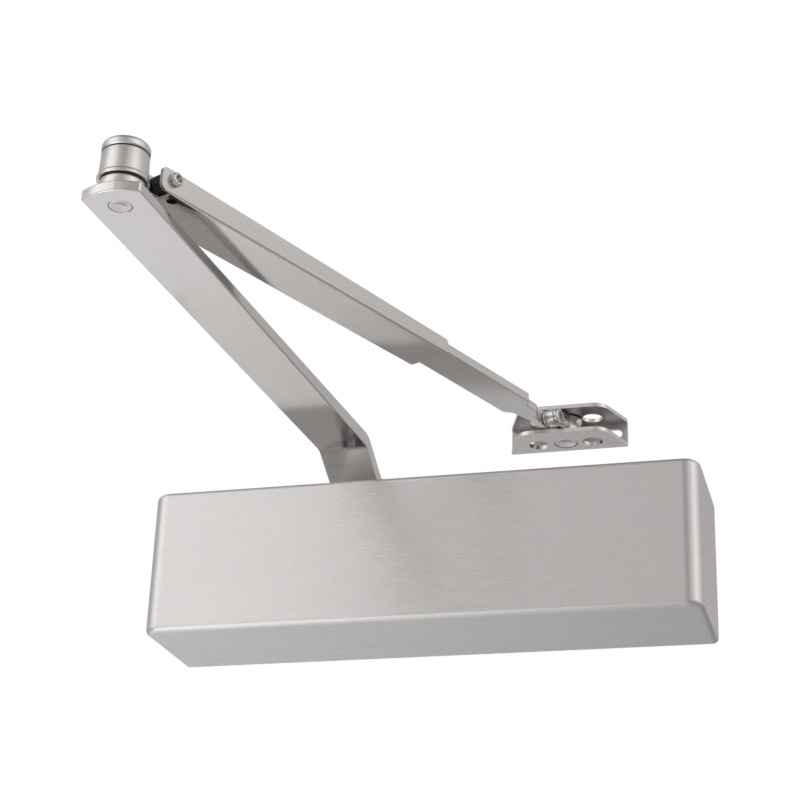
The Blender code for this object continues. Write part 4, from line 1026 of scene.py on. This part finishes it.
class CLOSER_OT_bracket(bpy.types.Operator):
    """Build the frame bracket, its pin, the swivel block and the rivet"""

    bl_idname = "closer.bracket"
    bl_label = "Frame Bracket"

    def execute(self, context):
        self.channel(context.scene.closer_bracket)
        self.pin()
        self.swivel()
        self.rivet()
        return {"FINISHED"}

    def channel(self, sizes):
        low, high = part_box("frame_bracket")
        half, back, front = (high.x - low.x) / 2, high.y - PIVOT.y, low.y - PIVOT.y
        t, nose, ear = sizes.sheet, 0.021, back - 0.003
        corners = [(-half, back), (-half, ear), (-nose, front), (nose, front), (half, ear), (half, back)]
        outline = rounded(corners, [0, 0.002, 0.008, 0.008, 0.002, 0], 10)
        shoe = prism("bracket_channel", outline, low.z, high.z)

        def is_fold(edge):
            a, b = (v.co for v in edge.verts)
            return abs(a.y - back) < 1e-6 and abs(b.y - back) < 1e-6 and abs(a.z - b.z) < 1e-6

        fold(shoe, 0.0022, 6, is_fold)
        mouth = [(-0.05, front - 0.01), (0.05, front - 0.01), (0.05, back - t), (-0.05, back - t)]
        cut(shoe, prism("gap_tool", mouth, low.z + t, high.z - t))
        pin_low, pin_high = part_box("bracket_pin")
        pin_hole, spacing = (pin_high.x - pin_low.x) / 2 + GAP, sizes.hole_spacing
        for x, radius in ((-spacing, sizes.hole), (0, pin_hole), (spacing, sizes.hole)):
            drill(shoe, radius, (x, 0, low.z - 0.01), (x, 0, high.z + 0.01), 56)
        middle, reach, slot = (low.z + high.z) / 2, 0.0022, 0.0025
        for x in (-0.0222, 0.0222):
            ends = arc((x + reach, middle), slot, -90, 90, 14) + arc((x - reach, middle), slot, 90, 270, 14)
            cut(shoe, prism("frame_slot_tool", ends, back - 0.01, back + 0.01, upright=True))
        soften(shoe, 0.00035, 3, 45)
        flatten(shoe, 40)
        place(shoe, (PIVOT.x, PIVOT.y, 0))
        fit(shoe, "bracket", "bracket", "brushed_steel", "frame_bracket")
        # Faces inside the bracket take the darkened inside steel: painted shade.
        shoe.data.materials.append(FINISHES["inside"])
        for face in shoe.data.polygons:
            at, normal = face.center, face.normal
            within = low.z + t * 0.6 < at.z < high.z - t * 0.6 and at.y < back - t * 0.6
            face.material_index = 1 if within and (abs(normal.z) > 0.7 or normal.y < -0.7) else 0

    def pin(self):
        low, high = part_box("bracket_pin")
        r, end = (high.x - low.x) / 2, low.z + 0.0002
        profile = [(0, high.z), (r - 0.0014, high.z), (r - 0.0006, high.z - 0.00015)]
        profile += [(r - 0.0001, high.z - 0.0005), (r, high.z - 0.0009), (r, low.z + 0.0004)]
        profile += [(r - 0.0001, low.z + 0.0001), (r - 0.0004, low.z), (r - 0.0012, low.z)]
        profile += [(r - 0.0015, end), (0, end)]
        pin = place(shade(spun("bracket_pin_bar", profile, 72), 35), (PIVOT.x, PIVOT.y, 0))
        fit(pin, "bracket", "turned", "brushed_steel", "bracket_pin")

    def swivel(self):
        low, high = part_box("swivel_block")
        pivot, rivet = in_forearm(PIVOT), in_forearm(RIVET)
        pin_low, pin_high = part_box("bracket_pin")
        hole = (pin_high.x - pin_low.x) / 2 + GAP
        profile = rim(0.0082, low.z, high.z, 0.0005) + [(hole, low.z), (hole, high.z)]
        block = spun("swivel_block_body", profile, 72, closed=True)
        block.data.transform(Matrix.Translation((pivot.x, 0, 0)))
        root = pivot.x - 0.005
        eye = arc((rivet.x, rivet.z), 0.0043, -90, -270, 24)
        side = [(root, low.z + 0.0004)] + eye + [(root, high.z - 0.0004)]
        lug = soften(prism("lug_tool", side, -0.0060, -0.0012, upright=True), 0.0006, 3, 60)
        drill(lug, hole, (pivot.x, 0, 0.06), (pivot.x, 0, 0.09), 72)
        join(block, lug)
        drill(block, 0.0027, (rivet.x, -0.01, rivet.z), (rivet.x, 0.01, rivet.z))
        place(shade(block, 40), ELBOW, FOREARM_ANGLE)
        fit(block, "swivel", "turned", "brushed_steel", "swivel_block")

    def rivet(self):
        head, tail = 0.0060 + GAP, -0.0048
        top = head + 0.0018
        profile = [(0, top), (0.0016, top), (0.0018, top - 0.0004), (0.0024, top - 0.0004), (0.0027, top)]
        profile += [(0.0033, top), (0.0038, top - 0.0004), (0.0041, top - 0.0009), (0.0041, head + 0.0001)]
        profile += [(0.0040, head), (0.0024, head), (0.0024, tail), (0.0038, tail), (0.0036, -0.0055)]
        rivet = spun("rivet_bar", profile + [(0.0030, -0.0060), (0, -0.0060)], 56)
        fit(on_side(shade(rivet, 40), RIVET), "rod", "bright", "brushed_steel", "swivel_rivet")
        outer, inner, top, foot, c = 0.0042, 0.0027, 0.0009, -0.0002, 0.0002
        profile = [(outer - c, top), (outer, top - c), (outer, foot + c), (outer - c, foot)]
        washer = spun("tilt_washer_ring", profile + [(inner, foot), (inner, top)], 48, closed=True)
        fit(on_side(shade(washer, 50), RIVET), "rod", "zinc", "zinc", "tilt_washer")


# ---------------------------------------------------------------- body and hidden pieces


class CLOSER_OT_body(bpy.types.Operator):
    """Give the plate, body, spindle, spring, valves and screws their finishes"""

    bl_idname = "closer.body"
    bl_label = "Plate and Body"

    finish_of_slot = {
        "cover_steel": "cover",
        "brushed_steel": "channel",
        "cast_aluminium": "cast",
        "machined_steel": "machined",
        "spring_steel": "spring",
        "zinc": "zinc",
        "brass": "brass",
        "black_rubber": "rubber",
        "black_plastic": "nylon",
    }

    def execute(self, context):
        slots = {entry["node"]: entry["material_slot"] for entry in RECORD["subparts"]}
        for name, node in frame["nodes"].items():
            finish = FINISHES[self.finish_of_slot[slots[name]]]
            for slot in node.material_slots:
                slot.material = finish
        return {"FINISHED"}


# ---------------------------------------------------------------- studio


class CLOSER_OT_stage(bpy.types.Operator):
    """Make the pale floor, the soft lights and the camera"""

    bl_idname = "closer.stage"
    bl_label = "Stage"

    camera_place = (0.22759, -0.88311, -0.31057)
    camera_angles = (16.064, 24.301, 2.197)
    floor_share = 0.54
    # how bright the studio is around the closer, by the angle from the front, towards the right
    walls = (
        (-180, 0.50), (-150, 0.54), (-115, 0.54), (-90, 0.62), (-58, 1.32), (-40, 1.25), (-25, 1.10),
        (-19, 1.07), (-15.5, 0.66), (-13.5, 0.60), (-11, 0.68), (-6, 0.68), (0, 0.56), (20, 0.46),
        (45, 0.80), (75, 1.26), (118, 0.64), (150, 0.54), (180, 0.50),
    )

    def execute(self, context):
        studio = context.scene.closer_studio
        self.floor(studio)
        self.world(context.scene)
        self.lights()
        self.camera(context.scene, studio)
        context.scene.view_settings.view_transform = "Standard"
        return {"FINISHED"}

    def floor(self, studio):
        mesh = bpy.data.meshes.new("floor")
        shape = bmesh.new()
        bmesh.ops.create_grid(shape, x_segments=1, y_segments=1, size=6)
        shape.to_mesh(mesh)
        shape.free()
        floor = new_object("floor", mesh)
        floor.location.z = -studio.distance
        paper = Finish("pale paper floor", 0.0, 0.7)
        grit = paper.group(GROUPS["grit"], paper.place, Depth=0.4)
        paper.colour(grit.outputs["Tone"], (0.74, 0.74, 0.74), (0.78, 0.78, 0.78))
        floor.data.materials.append(paper.material)

    def world(self, scene):
        """White behind the closer. The steel reflects a grey studio with bright walls left and right."""
        world = bpy.data.worlds.new("studio")
        world.use_nodes = True
        tree = world.node_tree
        tree.nodes.clear()
        end = tree.nodes.new("ShaderNodeOutputWorld")
        seen = tree.nodes.new("ShaderNodeBackground")
        seen.inputs["Color"].default_value = (1, 1, 1, 1)
        lit = tree.nodes.new("ShaderNodeBackground")
        split = tree.nodes.new("ShaderNodeSeparateXYZ")
        tree.links.new(tree.nodes.new("ShaderNodeTexCoord").outputs["Generated"], split.inputs[0])
        front = math(tree, "MULTIPLY", split.outputs["Y"], -1.0)
        around = stretch(tree, math(tree, "ARCTAN2", split.outputs["X"], front), -pi, pi)
        ramp = tree.nodes.new("ShaderNodeValToRGB")
        tree.links.new(around, ramp.inputs["Fac"])
        ramp.color_ramp.elements[1].position = 1.0
        for angle, level in self.walls[1:-1]:
            ramp.color_ramp.elements.new((angle + 180) / 360)
        for element, (angle, level) in zip(ramp.color_ramp.elements, self.walls):
            element.position = (angle + 180) / 360
            warmth = 0.04 * max(0.0, 1.2 - level)
            element.color = (level, level * (0.99 - warmth), level * (0.985 - warmth), 1)
        blend = tree.nodes.new("ShaderNodeMix")
        blend.data_type = "RGBA"
        tree.links.new(stretch(tree, split.outputs["Z"], 0.72, 0.95), blend.inputs["Factor"])
        tree.links.new(ramp.outputs["Color"], blend.inputs["A"])
        blend.inputs["B"].default_value = (0.30, 0.295, 0.29, 1)
        tree.links.new(blend.outputs["Result"], lit.inputs["Color"])
        rays = tree.nodes.new("ShaderNodeLightPath")
        strength = stretch(tree, rays.outputs["Is Diffuse Ray"], 0, 1, 1.0, self.floor_share)
        tree.links.new(strength, lit.inputs["Strength"])
        mix = tree.nodes.new("ShaderNodeMixShader")
        tree.links.new(rays.outputs["Is Camera Ray"], mix.inputs["Fac"])
        tree.links.new(lit.outputs[0], mix.inputs[1])
        tree.links.new(seen.outputs[0], mix.inputs[2])
        tree.links.new(mix.outputs[0], end.inputs["Surface"])
        scene.world = world

    def lights(self):
        self.softbox("back floor lamp", (-0.78, 0.85), 1.1, 0.7, 0.7, 10.5)
        self.softbox("front floor lamp", (-0.56, -0.88), 0.5, 0.4, 1.5, 9.5)

    def softbox(self, name, at, drop, width, height, power):
        """A lamp that only lights the floor, so that the steel sees a soft pool of light there."""
        lamp = bpy.data.lights.new(name, "AREA")
        lamp.shape = "RECTANGLE"
        lamp.size = width
        lamp.size_y = height
        lamp.energy = power
        obj = bpy.data.objects.new(name, lamp)
        bpy.context.scene.collection.objects.link(obj)
        obj.visible_glossy = False
        obj.visible_camera = False
        obj.location = (*at, drop - bpy.context.scene.closer_studio.distance)

    def camera(self, scene, studio):
        """Low in front and to the right, looking up at the closer, rolled a little."""
        azimuth, elevation, roll = (radians(angle) for angle in self.camera_angles)
        ahead = Vector((-sin(azimuth) * cos(elevation), cos(azimuth) * cos(elevation), sin(elevation)))
        right = ahead.cross(UP).normalized()
        above = right.cross(ahead)
        tilted_right = cos(roll) * right + sin(roll) * above
        tilted_up = cos(roll) * above - sin(roll) * right
        lens = bpy.data.cameras.new("camera")
        lens.lens = studio.lens
        lens.sensor_width = 36
        lens.clip_start = 0.05
        lens.clip_end = 30
        camera = bpy.data.objects.new("camera", lens)
        scene.collection.objects.link(camera)
        turn = Matrix((tilted_right, tilted_up, -ahead)).transposed().to_4x4()
        camera.matrix_world = Matrix.Translation(self.camera_place) @ turn
        scene.camera = camera


# ---------------------------------------------------------------- panel


class CLOSER_PT_panel(bpy.types.Panel):
    bl_label = "Door Closer"
    bl_idname = "CLOSER_PT_panel"
    bl_space_type = "VIEW_3D"
    bl_region_type = "UI"
    bl_category = "Door Closer"

    def draw(self, context):
        column = self.layout.column()
        for operator in OPERATORS:
            column.operator(operator.bl_idname)
        for settings in SETTINGS:
            group = getattr(context.scene, settings)
            for name in group.bl_rna.properties.keys():
                if name not in ("rna_type", "name"):
                    column.prop(group, name)


OPERATORS = (
    CLOSER_OT_finishes,
    CLOSER_OT_body,
    CLOSER_OT_cover,
    CLOSER_OT_main_arm,
    CLOSER_OT_elbow,
    CLOSER_OT_forearm,
    CLOSER_OT_bracket,
    CLOSER_OT_stage,
)
SETTINGS = {
    "closer_cover": CoverSettings,
    "closer_arm": ArmSettings,
    "closer_forearm": ForearmSettings,
    "closer_bracket": BracketSettings,
    "closer_studio": StudioSettings,
}


def register():
    for cls in (*SETTINGS.values(), *OPERATORS, CLOSER_PT_panel):
        bpy.utils.register_class(cls)
    for name, cls in SETTINGS.items():
        setattr(bpy.types.Scene, name, PointerProperty(type=cls))


def unregister():
    for name in SETTINGS:
        delattr(bpy.types.Scene, name)
    for cls in reversed((*SETTINGS.values(), *OPERATORS, CLOSER_PT_panel)):
        bpy.utils.unregister_class(cls)


def clear_startup():
    for name in ("Cube", "Light", "Camera"):
        if name in bpy.data.objects:
            bpy.data.objects.remove(bpy.data.objects[name], do_unlink=True)


def main():
    clear_startup()
    register()
    bpy.ops.closer.finishes()
    bpy.ops.closer.body()
    bpy.ops.closer.cover()
    bpy.ops.closer.main_arm()
    bpy.ops.closer.elbow()
    bpy.ops.closer.forearm()
    bpy.ops.closer.bracket()
    bpy.ops.closer.stage()


if __name__ == "__main__":
    main()
